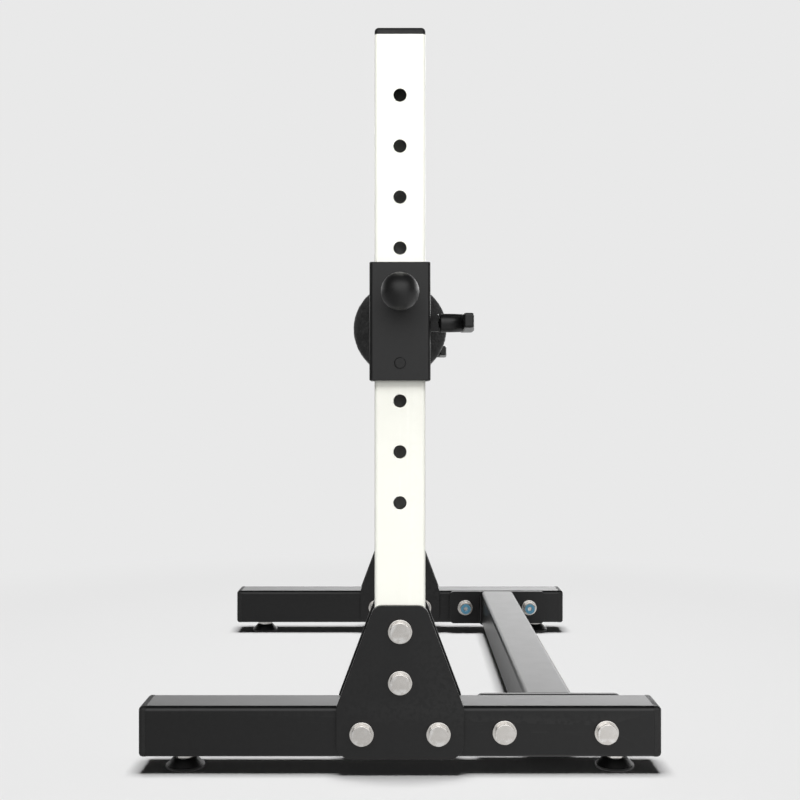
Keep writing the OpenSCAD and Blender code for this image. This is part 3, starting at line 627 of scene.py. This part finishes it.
def addGusset(name, node, look):
    low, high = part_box(node)
    plate = addBlock(name, low, high)
    editing(plate)
    selectMesh()
    bpy.ops.mesh.bisect(plane_co=(0, 0, look["shoulder"]), plane_no=(0, 0, 1))
    choose("VERT", lambda vert: vert.co.z > high.z - near)
    bpy.ops.transform.resize(value=(look["topHalf"] / high.x, 1, 1), center_override=(0, low.y, high.z))
    lean = math.degrees(math.atan((high.x - look["topHalf"]) / (high.z - look["shoulder"])))
    roundCorners(lambda spot: spot.z < low.z + near, look["lowRound"])
    roundCorners(lambda spot: abs(spot.z - look["shoulder"]) < near, look["sideRound"], 180 - lean)
    roundCorners(lambda spot: spot.z > high.z - near and abs(spot.x) > 0.9 * look["topHalf"],
                 look["topRound"], 90 + lean)
    editDone()
    spots = [(x, (low.y + high.y) / 2, z) for x, z in boltSpots["gusset"]]
    cutHoles(plate, spots, boltHole, throughWall, acrossY)
    softenEdges(plate, look["edge"])
    finishPiece(plate, "frame", node)


def addFlange(side, look):
    name = sideNames[side]
    low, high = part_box(name + "_flange")
    plate = addBlock(name + "FlangePlate", low, high)
    editing(plate)
    roundCorners(lambda spot: True, look["round"])
    editDone()
    spots = [(x, (low.y + high.y) / 2, z) for x, z in boltSpots["flange"]]
    cutHoles(plate, spots, boltHole, throughWall, acrossY)
    softenEdges(plate, look["edge"])
    finishPiece(plate, "frame", name + "_flange")


for side, name in sideNames.items():
    for layer in ("outer", "inner"):
        addGusset(name + layer.capitalize() + "GussetPlate", f"{name}_{layer}_gusset", gussetLook)
    addFlange(side, flangeLook)
print("stage: plates")

# End caps, pressed into the tubes

capLook = {"corner": 0.004, "edge": 0.004, "steps": 6, "plug": 0.02, "gap": 0.0031, "plugWall": 0.002}


def addCap(look, thick):  # plate on top of Z = 0, plug below
    cap = addBlock("cap", (-tubeHalf, -tubeHalf, 0), (tubeHalf, tubeHalf, thick))
    editing(cap)
    choose("EDGE", lambda edge: runsAlong(edge, 2))
    bevelEdges(look["corner"], look["steps"])
    choose("FACE", lambda face: face.normal.z < -0.9)
    bpy.ops.mesh.inset(thickness=look["gap"])
    bpy.ops.mesh.extrude_region_move(TRANSFORM_OT_translate={"value": (0, 0, -look["plug"])})
    bpy.ops.mesh.inset(thickness=look["plugWall"])
    bpy.ops.mesh.extrude_region_move(TRANSFORM_OT_translate={"value": (0, 0, look["plug"])})
    choose("EDGE", lambda edge: min(vert.co.z for vert in edge.verts) > thick - near)
    bevelEdges(look["edge"], look["steps"])
    editDone()
    smoothPiece(cap)
    return cap


def addCaps():
    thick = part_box("left_upright_cap")[1].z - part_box("left_upright")[1].z
    for side, name in sideNames.items():
        low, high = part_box(name + "_foot_tube")
        middle = (low.z + high.z) / 2
        spots = [((end * high.x, side * sideAxis, middle), (0, end * math.pi / 2, 0)) for end in (-1, 1)]
        caps = placeCopies(name + "FootCapPair", addCap(capLook, thick), spots)
        finishPiece(caps, "frame", name + "_foot_caps")
        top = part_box(name + "_upright")[1].z
        cap = movePiece(addCap(capLook, thick), (0, side * sideAxis, top), name=name + "UprightCapPiece")
        finishPiece(cap, "frame", name + "_upright_cap")


addCaps()
print("stage: end caps")

# Bolts, washers and lock nuts

boltLook = {"shank": 0.006, "flats": 0.019, "head": 0.0068, "tip": 0.001, "edge": 0.0002, "face": 0.0092,
            "reach": 0.0099, "short": 0.0032}
washerLook = {"radius": 0.012, "thick": 0.0025, "edge": 0.0008}
nutLook = {"height": 0.012, "collar": 0.0035, "collarRadius": 0.0087, "collarEdge": 0.0006, "bore": 0.00605,
           "edge": 0.0002}
ringLook = {"thick": 0.0025, "radius": 0.0077, "bore": 0.0032, "proud": 0.0004, "gap": 0.00005,
            "edge": 0.0006}
sixth = math.pi / 6
overlap = 0.001  # how far a piece reaches into the one that it is joined with


def addHexagon(name, flats, height, lowChamfer=True, face=None, reach=None):  # a corner towards Y
    corner = flats / 2 / math.cos(sixth)
    face = face or flats / 2
    wide = reach or corner * 1.1
    rise = (wide - face) * math.tan(sixth)
    hexagon = addRod(name, corner, height, (0, 0, height / 2), sides=6)
    low = [(face, 0), (wide, rise)] if lowChamfer else [(wide, 0)]
    envelope = addTurned("envelope", low + [(wide, height - rise), (face, height)], sides=96)
    combine(hexagon, envelope, "INTERSECT")
    return hexagon


def addBolt(grip, look, washer):  # head below Z = 0, shank up through the grip
    head = addHexagon("head", look["flats"], look["head"], False, look["face"], look["reach"])
    movePiece(head, (0, 0, 0), (math.pi, 0, 0))
    length = grip + 2 * washer["thick"] + nutLook["height"] - look["short"]
    shank = addTurned("shank", [(look["shank"], -overlap), (look["shank"], length - look["tip"]),
                                (look["shank"] - look["tip"], length)])
    combine(head, shank, "UNION")
    softenEdges(head, look["edge"], 2)
    return head


def addRing(name, outer, bore, low, high, edge):
    ring = addTurned(name, [(bore, low), (outer, low), (outer, high), (bore, high)], ring=True)
    softenEdges(ring, edge)
    return ring


def drillOut(piece, radius, length, middle=0):  # a bore along Z
    combine(piece, addRod("bore", radius, length, (0, 0, middle)), "DIFFERENCE")


def addLockNut(look, bolt, ring):
    nut = addHexagon("nut", bolt["flats"], look["height"] - look["collar"], reach=bolt["reach"])
    radius, edge, height = look["collarRadius"], look["collarEdge"], look["height"]
    collar = addTurned("collar", [(radius, overlap), (radius, height - edge), (radius - edge, height)])
    combine(nut, collar, "UNION")
    drillOut(nut, look["bore"], 4 * height)
    drillOut(nut, ring["radius"], 2 * ring["thick"], height)
    softenEdges(nut, look["edge"], 2)
    return nut


def boltRuns(kind):  # where each bolt goes: x, z, side, outer face and inner face
    outer = {"gusset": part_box("right_outer_gusset")[1].y, "flange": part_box("right_foot_tube")[1].y}[kind]
    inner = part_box("right_flange")[0].y
    return [(x, z, side, outer, inner) for side in sideNames for x, z in boltSpots[kind]]


def addBolts():
    thick = washerLook["thick"]
    both = boltRuns("gusset") + boltRuns("flange")
    for kind in ("gusset", "flange"):
        runs = boltRuns(kind)
        grip = runs[0][3] - runs[0][4]
        spots = [((x, side * (outer + thick), z), turns[-side]) for x, z, side, outer, inner in runs]
        bolts = placeCopies(kind + "BoltSet", addBolt(grip, boltLook, washerLook), spots)
        finishPiece(bolts, "frame", kind + "_bolts")
    outside = [((x, side * outer, z), turns[side]) for x, z, side, outer, inner in both]
    inside = [((x, side * inner, z), turns[-side]) for x, z, side, outer, inner in both]
    washer = addRing("washer", washerLook["radius"], boltHole, 0, thick, washerLook["edge"])
    washers = placeCopies("washerSet", washer, outside + inside)
    finishPiece(washers, "frame", "washers")
    seats = [((x, side * (inner - thick), z), turns[-side]) for x, z, side, outer, inner in both]
    nuts = placeCopies("lockNutSet", addLockNut(nutLook, boltLook, ringLook), seats)
    finishPiece(nuts, "frame", "lock_nuts")
    top = nutLook["height"]
    ring = addRing("ring", ringLook["radius"] - ringLook["gap"], ringLook["bore"], top - ringLook["thick"],
                   top + ringLook["proud"], ringLook["edge"])
    rings = placeCopies("nutRingSet", ring, seats)
    finishPiece(rings, "frame", "nut_rings")


addBolts()
print("stage: bolts and nuts")

# Levelling feet

footLook = {"rim": 0.0195, "rimHeight": 0.003, "height": 0.0103, "neck": 0.0116, "floor": 0.003,
            "chamfer": 0.001, "bore": 0.00605, "dimple": 0.004, "grooves": (0.008, 0.0115, 0.015),
            "grooveTop": 0.0005, "grooveFoot": 0.0008, "grooveDeep": 0.0006, "edge": 0.0003}
studLook = {"radius": 0.006, "pitch": 0.00175, "depth": 0.0009}
jamLook = {"flats": 0.019, "bore": 0.0061, "thick": 0.0057, "edge": 0.0002}
flank = {"slope": 2.4, "crest": 0.15}  # of a thread's ridge


def addThreaded(name, length, look, sides=36, rings=7):  # a rod whose sides are moved into a helical ridge
    steps = int(rings * length / look["pitch"])
    radius, chamfer = look["radius"], look["depth"]
    heights = [chamfer + (length - 2 * chamfer) * step / steps for step in range(steps + 1)]
    profile = [(radius, height) for height in heights]
    rod = addTurned(name, [(radius - chamfer, 0)] + profile + [(radius - chamfer, length)], sides)
    for vert in rod.data.vertices:
        if math.hypot(vert.co.x, vert.co.y) > radius - chamfer / 2:
            phase = (vert.co.z / look["pitch"] - math.atan2(vert.co.y, vert.co.x) / math.tau) % 1
            cutIn = look["depth"] * min(1, max(0, flank["slope"] * abs(phase - 0.5) - flank["crest"]))
            vert.co.x *= 1 - cutIn / radius
            vert.co.y *= 1 - cutIn / radius
    smoothPiece(rod, 60)
    return rod


def addPad(look):
    rim, tall, chamfer = look["rim"], look["rimHeight"], look["chamfer"]
    profile = [(look["bore"], look["floor"]), (look["dimple"], look["floor"]), (look["dimple"], 0)]
    for radius in look["grooves"]:  # shallow rings that grip the floor
        foot, top, deep = look["grooveFoot"], look["grooveTop"], look["grooveDeep"]
        profile += [(radius - foot, 0), (radius - top, deep), (radius + top, deep), (radius + foot, 0)]
    profile += [(rim - chamfer, 0), (rim, chamfer), (rim, tall), (rim - chamfer, tall)]
    profile += [(look["neck"], look["height"]), (look["bore"], look["height"])]
    pad = addTurned("pad", profile, 96, True)
    softenEdges(pad, look["edge"], 2, 30)
    return pad


def addFeet():
    pad = addPad(footLook)
    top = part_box("left_front_stud")[1].z
    stud = addThreaded("stud", top - footLook["floor"], studLook)
    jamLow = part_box("left_foot_tube")[0].z - jamLook["thick"]
    nut = addHexagon("jam", jamLook["flats"], jamLook["thick"])
    drillOut(nut, jamLook["bore"], 4 * jamLook["thick"])
    softenEdges(nut, jamLook["edge"], 2)
    spots = []
    for side, name in sideNames.items():
        for end, label in ((1, "front"), (-1, "rear")):
            x, y, node = end * footAxis, side * sideAxis, f"{name}_{label}"
            title = name + label.capitalize()
            finishPiece(copyPiece(pad, title + "PadPiece", (x, y, 0)), node + "_foot", node + "_pad")
            studCopy = copyPiece(stud, title + "StudPiece", (x, y, footLook["floor"]))
            finishPiece(studCopy, node + "_foot", node + "_stud")
            spots.append(((x, y, jamLow), (0, 0, sixth)))
    bpy.data.objects.remove(pad)
    bpy.data.objects.remove(stud)
    finishPiece(placeCopies("jamNutSet", nut, spots), "frame", "foot_jam_nuts")


addFeet()
print("stage: levelling feet")

# Carriage: sleeves, their nuts, pull pins and clamp screws

sleeveLook = {"corner": 0.004, "wall": 0.003, "steps": 6, "edge": 0.0008, "pinHole": 0.00805,
              "plugHole": 0.00405, "screwHole": 0.00525, "pinUp": 0.466, "plugUp": 0.403}
housingLook = {"nose": 0.008, "noseIn": 0.002, "flats": 0.022, "hexagon": 0.006, "barrel": 0.0105,
               "chamfer": 0.001, "edge": 0.0003, "bore": 0.0041, "pinBore": 0.0061, "boreDepth": 0.015,
               "groove": 0.0006, "grooveAt": 0.55, "grooveWide": 0.0022, "chamber": 0.0085, "guide": 0.01,
               "endWall": 0.003}
knobLook = {"radius": 0.0175, "neck": 0.009, "bore": 0.00405, "boreDepth": 0.016, "edge": 0.0008}
plungerLook = {"pin": 0.006, "chamfer": 0.0015, "rod": 0.004, "rodEnd": 0.0006, "collarRadius": 0.0083,
               "collar": 0.003, "collarUp": 0.0222, "edge": 0.0003}
clampLook = {"flats": 0.017, "nut": 0.0085, "bore": 0.0051, "edge": 0.0004}
screwLook = {"radius": 0.005, "pitch": 0.0015, "depth": 0.0008}
handleLook = {"barrel": 0.00935, "flare": 0.014, "spread": 65, "flareSteps": 10, "barEdge": 0.0018,
              "thick": 0.0093, "crown": 0.0024, "halfEnd": 0.00715, "halfMiddle": 0.009, "edge": 0.0008,
              "sunk": 0.003, "bore": 0.00505, "boreDepth": 0.016, "voxel": 0.0006, "smooth": 4}


def sleeveFace(name):  # how far the sleeve's outer face lies from the middle
    return max(abs(value.y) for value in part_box(name + "_sleeve"))


def sleeveMiddle(name):
    low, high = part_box(name + "_sleeve")
    return (low.z + high.z) / 2


def reachOf(node):  # the near and the far end of a piece, from the middle
    return sorted(abs(value.y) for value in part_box(node))


def addSleeve(side, look):
    name = sideNames[side]
    sleeve = addTube(name + "SleeveShell", name + "_sleeve", 2, look)
    face = side * sleeveFace(name)
    cutHoles(sleeve, [(0, face, look["pinUp"])], look["pinHole"], throughWall, acrossY)
    cutHoles(sleeve, [(0, face, look["plugUp"])], look["plugHole"], throughWall, acrossY)
    front = (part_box(name + "_sleeve")[1].x, side * sideAxis, sleeveMiddle(name))
    cutHoles(sleeve, [front], look["screwHole"], throughWall, acrossX)
    softenEdges(sleeve, look["edge"])
    finishPiece(sleeve, "carriage", name + "_sleeve")


def addHousing(side, look):
    name = sideNames[side]
    inner, outer = reachOf(name + "_pin_housing")
    face = sleeveFace(name)
    length, barrel, step = outer - face, look["barrel"], look["groove"]
    low = length * look["grooveAt"]
    high = low + look["grooveWide"]
    profile = [(barrel, overlap), (barrel, low), (barrel - step, low + step), (barrel - step, high - step),
               (barrel, high), (barrel, length - look["chamfer"]), (barrel - look["chamfer"], length)]
    housing = addTurned("housing", profile)
    hexagon = addHexagon("housingHexagon", look["flats"], look["hexagon"])
    combine(housing, movePiece(hexagon, (0, 0, 0), (0, 0, sixth)), "UNION")
    noseLong = face - inner + look["noseIn"]
    nose = addRod("nose", look["nose"], noseLong, (0, 0, look["noseIn"] - noseLong / 2))
    combine(housing, nose, "UNION")
    drillOut(housing, look["bore"], 2 * look["boreDepth"], length)
    drillOut(housing, look["pinBore"], 2 * look["boreDepth"])
    deep = length - look["endWall"] - look["guide"]  # room for the collar and the spring
    drillOut(housing, look["chamber"], deep, look["guide"] + deep / 2)
    softenEdges(housing, look["edge"])
    movePiece(housing, (0, side * face, sleeveLook["pinUp"]), turns[side], name + "PinHousingBody")
    finishPiece(housing, "carriage", name + "_pin_housing")


def addKnob(side, look):
    name = sideNames[side]
    outer = reachOf(name + "_ball_knob")[1]
    clearSelection()
    bpy.ops.mesh.primitive_uv_sphere_add(segments=128, ring_count=64, radius=look["radius"])
    knob = settle("knob")
    flat = -math.sqrt(look["radius"] ** 2 - look["neck"] ** 2)
    editing(knob)
    selectMesh()
    bpy.ops.mesh.bisect(plane_co=(0, 0, flat), plane_no=(0, 0, 1), use_fill=True, clear_inner=True)
    choose("FACE", lambda face: face.normal.z < -0.99 and face.calc_center_median().z < flat + near)
    bpy.ops.mesh.inset(thickness=look["neck"] - look["bore"])
    bpy.ops.mesh.extrude_region_move(TRANSFORM_OT_translate={"value": (0, 0, look["boreDepth"])})
    editDone()
    softenEdges(knob, look["edge"], angle=25)
    spot = (0, side * (outer - look["radius"]), sleeveLook["pinUp"])
    movePiece(knob, spot, turns[side], name + "BallKnobPiece")
    finishPiece(knob, name + "_pull_pin", name + "_ball_knob")


def addPlunger(side, look):
    name = sideNames[side]
    inner, outer = reachOf(name + "_plunger")
    length, pin, rod = outer - inner, look["pin"], look["rod"]
    collarLow = sleeveFace(name) - inner + look["collarUp"]
    collarHigh = collarLow + look["collar"]
    profile = [(pin - look["chamfer"], 0), (pin, look["chamfer"]), (pin, collarLow),
               (look["collarRadius"], collarLow), (look["collarRadius"], collarHigh), (rod, collarHigh),
               (rod, length - look["rodEnd"]), (rod - look["rodEnd"], length)]
    plunger = addTurned("plunger", profile)
    softenEdges(plunger, look["edge"], 2)
    movePiece(plunger, (0, side * inner, sleeveLook["pinUp"]), turns[side], name + "PlungerPiece")
    finishPiece(plunger, name + "_pull_pin", name + "_plunger")


def addClamp(side, look):
    name = sideNames[side]
    middle = sleeveMiddle(name)
    nut = addHexagon("clampNut", look["flats"], look["nut"])
    drillOut(nut, look["bore"], 4 * look["nut"])
    softenEdges(nut, look["edge"])
    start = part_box(name + "_clamp_nut")[0].x
    movePiece(nut, (start, side * sideAxis, middle), acrossX, name + "ClampNutPiece")
    finishPiece(nut, "carriage", name + "_clamp_nut")
    low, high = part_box(name + "_clamp_screw")
    screw = addThreaded("screw", high.x - low.x, screwLook)
    movePiece(screw, (low.x, side * sideAxis, middle), acrossX, name + "ClampScrewPiece")
    finishPiece(screw, name + "_clamp", name + "_clamp_screw")


def addBar(low, high, middle, look):  # a bar that swells towards its middle
    bar = addBlock("bar", low, high)
    barrel = look["barrel"]
    editing(bar)
    for way in (-1, 1):
        selectMesh()
        bpy.ops.mesh.bisect(plane_co=(0, middle.y + way * barrel, 0), plane_no=(0, 1, 0))
    choose("VERT", lambda vert: abs(vert.co.y - middle.y) < barrel + near)
    bpy.ops.transform.resize(value=(1, 1, look["halfMiddle"] / look["halfEnd"]), center_override=middle)
    choose("VERT", lambda vert: abs(vert.co.y - middle.y) < barrel + near and vert.co.x > high[0] - near)
    bpy.ops.transform.translate(value=(look["crown"], 0, 0))
    choose("EDGE", lambda edge: len(edge.link_faces) == 2 and edge.calc_face_angle() > 0.8)
    bevelEdges(look["barEdge"], 4)
    editDone()
    return bar


def addHandle(side, look):
    name = sideNames[side]
    low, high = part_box(name + "_tee_handle")
    middle = Vector((0, (low.y + high.y) / 2, (low.z + high.z) / 2))
    halfEnd, barOut = look["halfEnd"], high.x - look["crown"]
    barIn = barOut - look["thick"]
    bar = addBar((barIn, low.y, middle.z - halfEnd), (barOut, high.y, middle.z + halfEnd), middle, look)
    radius, flare, long = look["barrel"], look["flare"], barIn - low.x
    start = long - flare * math.sin(math.radians(look["spread"]))
    profile = [(radius - look["edge"], 0), (radius, look["edge"]), (radius, start)]
    for step in range(1, look["flareSteps"] + 1):  # wider along the bar, and flatter towards its height
        share = step / look["flareSteps"]
        angle = math.radians(look["spread"] * share)
        profile.append((radius + (look["halfMiddle"] - radius) * share, start + flare * math.sin(angle),
                        radius + flare * (1 - math.cos(angle))))
    profile.append((look["halfMiddle"], long + look["sunk"], profile[-1][2]))
    barrel = addTurned("barrel", profile)
    combine(bar, movePiece(barrel, (low.x, middle.y, middle.z), acrossX), "UNION")
    useModifier(bar, "REMESH", mode="VOXEL", voxel_size=look["voxel"])
    useModifier(bar, "SMOOTH", factor=0.5, iterations=look["smooth"])
    cutHoles(bar, [(low.x, middle.y, middle.z)], look["bore"], 2 * look["boreDepth"], acrossX)
    bar.name = name + "TeeHandleGrip"
    smoothPiece(bar, 50)
    finishPiece(bar, name + "_clamp", name + "_tee_handle")


for side in sideNames:
    addSleeve(side, sleeveLook)
    addHousing(side, housingLook)
    addKnob(side, knobLook)
    addPlunger(side, plungerLook)
    addClamp(side, clampLook)
    addHandle(side, handleLook)
print("stage: carriage")

# Roller: axle fittings and foam

axleLook = {"bore": 0.01255, "gap": 0.0005, "edge": 0.0006}
bushLook = {"flange": 0.004, "bore": 0.01258, "body": 0.01795, "depth": 0.025, "edge": 0.0008}
foamLook = {"round": 0.005, "bore": 0.0201, "rings": 12, "sides": 260, "cuts": 260, "bump": 0.0007,
            "grain": 0.0028}


def addAxleFittings():
    middle = (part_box("axle")[0].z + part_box("axle")[1].z) / 2
    bore, edge = axleLook["bore"], axleLook["edge"]
    for name in sideNames.values():
        low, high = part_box(name + "_axle_boss")
        boss = addRing("boss", (high.x - low.x) / 2, bore, 0, high.y - low.y, edge)
        movePiece(boss, (0, low.y, middle), turns[1], name + "AxleBossPiece")
        finishPiece(boss, "carriage", name + "_axle_boss")
    bushHigh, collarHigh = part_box("roller_bushes")[1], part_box("axle_collars")[1]
    inner = bushHigh.y + axleLook["gap"]
    collar = addRing("collar", collarHigh.x, bore, 0, collarHigh.y - inner, edge)
    spots = [((0, side * inner, middle), turns[side]) for side in (1, -1)]
    finishPiece(placeCopies("axleCollarPair", collar, spots), "carriage", "axle_collars")
    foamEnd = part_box("foam_roller")[1].y
    bore, body, depth, flange = (bushLook[key] for key in ("bore", "body", "depth", "flange"))
    profile = [(bore, -depth), (body, -depth), (body, 0), (bushHigh.x, 0), (bushHigh.x, flange),
               (bore, flange)]
    bush = addTurned("bush", profile, ring=True)
    softenEdges(bush, bushLook["edge"])
    spots = [((0, side * foamEnd, middle), turns[side]) for side in sideNames]
    finishPiece(placeCopies("rollerBushPair", bush, spots), "roller", "roller_bushes")


def addFoam(look):
    low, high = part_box("foam_roller")
    radius, half = (high.x - low.x) / 2, (high.y - low.y) / 2
    rounding, rings = look["round"], look["rings"]
    lowArc = arcProfile((radius - rounding, rounding - half), rounding, -90, 0)
    highArc = arcProfile((radius - rounding, half - rounding), rounding, 0, 90)
    start, width = look["bore"], radius - rounding - look["bore"]
    face = [(start + width * step / rings, -half) for step in range(rings)]
    back = [(point[0], half) for point in reversed(face)]
    foam = addTurned("foamRollerPad", face + lowArc + highArc + back, look["sides"], True)
    editing(foam)
    choose("EDGE", lambda edge: runsAlong(edge, 2) and (edge.verts[0].co - edge.verts[1].co).length > half)
    bpy.ops.mesh.subdivide(number_cuts=look["cuts"])
    editDone()
    movePiece(foam, (0, 0, (low.z + high.z) / 2), turns[1])
    bumps = bpy.data.textures.new("foamBumps", "CLOUDS")
    bumps.noise_scale = look["grain"]
    bumps.noise_depth = 1
    useModifier(foam, "DISPLACE", texture=bumps, strength=look["bump"], mid_level=1, texture_coords="GLOBAL")
    pickPiece(foam)
    bpy.ops.object.shade_smooth()
    finishPiece(foam, "roller", "foam_roller")


addAxleFittings()
addFoam(foamLook)
print("stage: roller")

# Weld beads: crossbeam to flanges, and axle bosses to sleeves

weldLook = {"leg": 0.003, "wave": 0.0028, "flat": 0.8, "ripple": 0.1, "corner": 0.004, "crown": 0.9,
            "top": 0.058}


def addRoundWeld(side, look):
    name = sideNames[side]
    low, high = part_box(name + "_axle_boss")
    radius = (high.x - low.x) / 2
    face = reachOf(name + "_sleeve")[0]
    clearSelection()
    bpy.ops.mesh.primitive_torus_add(major_radius=radius, minor_radius=look["leg"] * look["flat"],
                                     major_segments=240, minor_segments=12)
    bead = settle(name + "BossWeld")
    for vert in bead.data.vertices:
        path = math.atan2(vert.co.y, vert.co.x) * radius
        vert.co.z *= look["flat"] + look["ripple"] * math.sin(path * math.tau / look["wave"])
    movePiece(bead, (0, side * face, (low.z + high.z) / 2), turns[side])
    smoothPiece(bead, 60)
    finishPiece(bead, "carriage")


def addSquareWeld(side, look):
    name = sideNames[side]
    low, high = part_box("crossbeam")
    leg = look["leg"]
    start = low.y if side < 0 else high.y
    free = start - side * leg
    block = addBlock(name + "BeamWeld", (low.x - leg, min(start, free), low.z - leg),
                     (high.x + leg, max(start, free), high.z + leg))
    editing(block)
    choose("EDGE", lambda edge: runsAlong(edge, 1))
    bevelEdges(look["corner"] + leg, 8)
    choose("FACE", lambda face: abs(face.normal.y) > 0.9)
    bpy.ops.mesh.delete(type="ONLY_FACE")
    editDone()
    useModifier(block, "SOLIDIFY", thickness=leg, offset=-1, use_even_offset=True)
    editing(block)
    middle = (low + high) / 2
    choose("EDGE", lambda edge: all(abs(vert.co.y - free) < near for vert in edge.verts)
           and any(abs(face.normal.y) < 0.1 and face.normal.dot(middleOf(edge) - middle) > 0
                   for face in edge.link_faces))
    bevelEdges(leg * look["crown"], 4)
    selectMesh()
    bpy.ops.mesh.bisect(plane_co=(0, 0, look["top"]), plane_no=(0, 0, 1), use_fill=True, clear_outer=True)
    editDone()
    smoothPiece(block, 60)
    finishPiece(block, "frame")


for side in sideNames:
    addRoundWeld(side, weldLook)
    addSquareWeld(side, weldLook)
print("stage: welds")

# Light linking: which pieces each lamp lights, and which of them shade the overhead lamp


def linkLamp(name, role, pieces, state):
    group = bpy.data.collections.new(name + role.capitalize())
    for piece in pieces:
        group.objects.link(bpy.data.objects[piece])
    for entry in group.collection_objects:
        entry.light_linking.link_state = state
    setattr(bpy.data.objects[name].light_linking, role + "_collection", group)


def onBothSides(*endings):
    return [name + ending for name in sideNames.values() for ending in endings]


uprightPieces, padPieces = onBothSides("UprightShell"), onBothSides("FrontPadPiece", "RearPadPiece")
lowPieces = onBothSides("FootTubeShell", "FootCapPair", "FlangePlate", "OuterGussetPlate", "InnerGussetPlate")
linkLamp("overheadLamp", "receiver", ["floor"], "INCLUDE")
linkLamp("overheadLamp", "blocker", ["crossbeamShell"] + lowPieces + padPieces, "INCLUDE")
linkLamp("frontPanel", "receiver", ["floor"] + padPieces, "EXCLUDE")
for lampName in ("uprightLamp", "uprightBackLamp"):
    linkLamp(lampName, "receiver", uprightPieces, "INCLUDE")
for lampName in ("uprightLeftLamp", "uprightRightLamp"):
    linkLamp(lampName, "receiver", uprightPieces + ["foamRollerPad"], "INCLUDE")
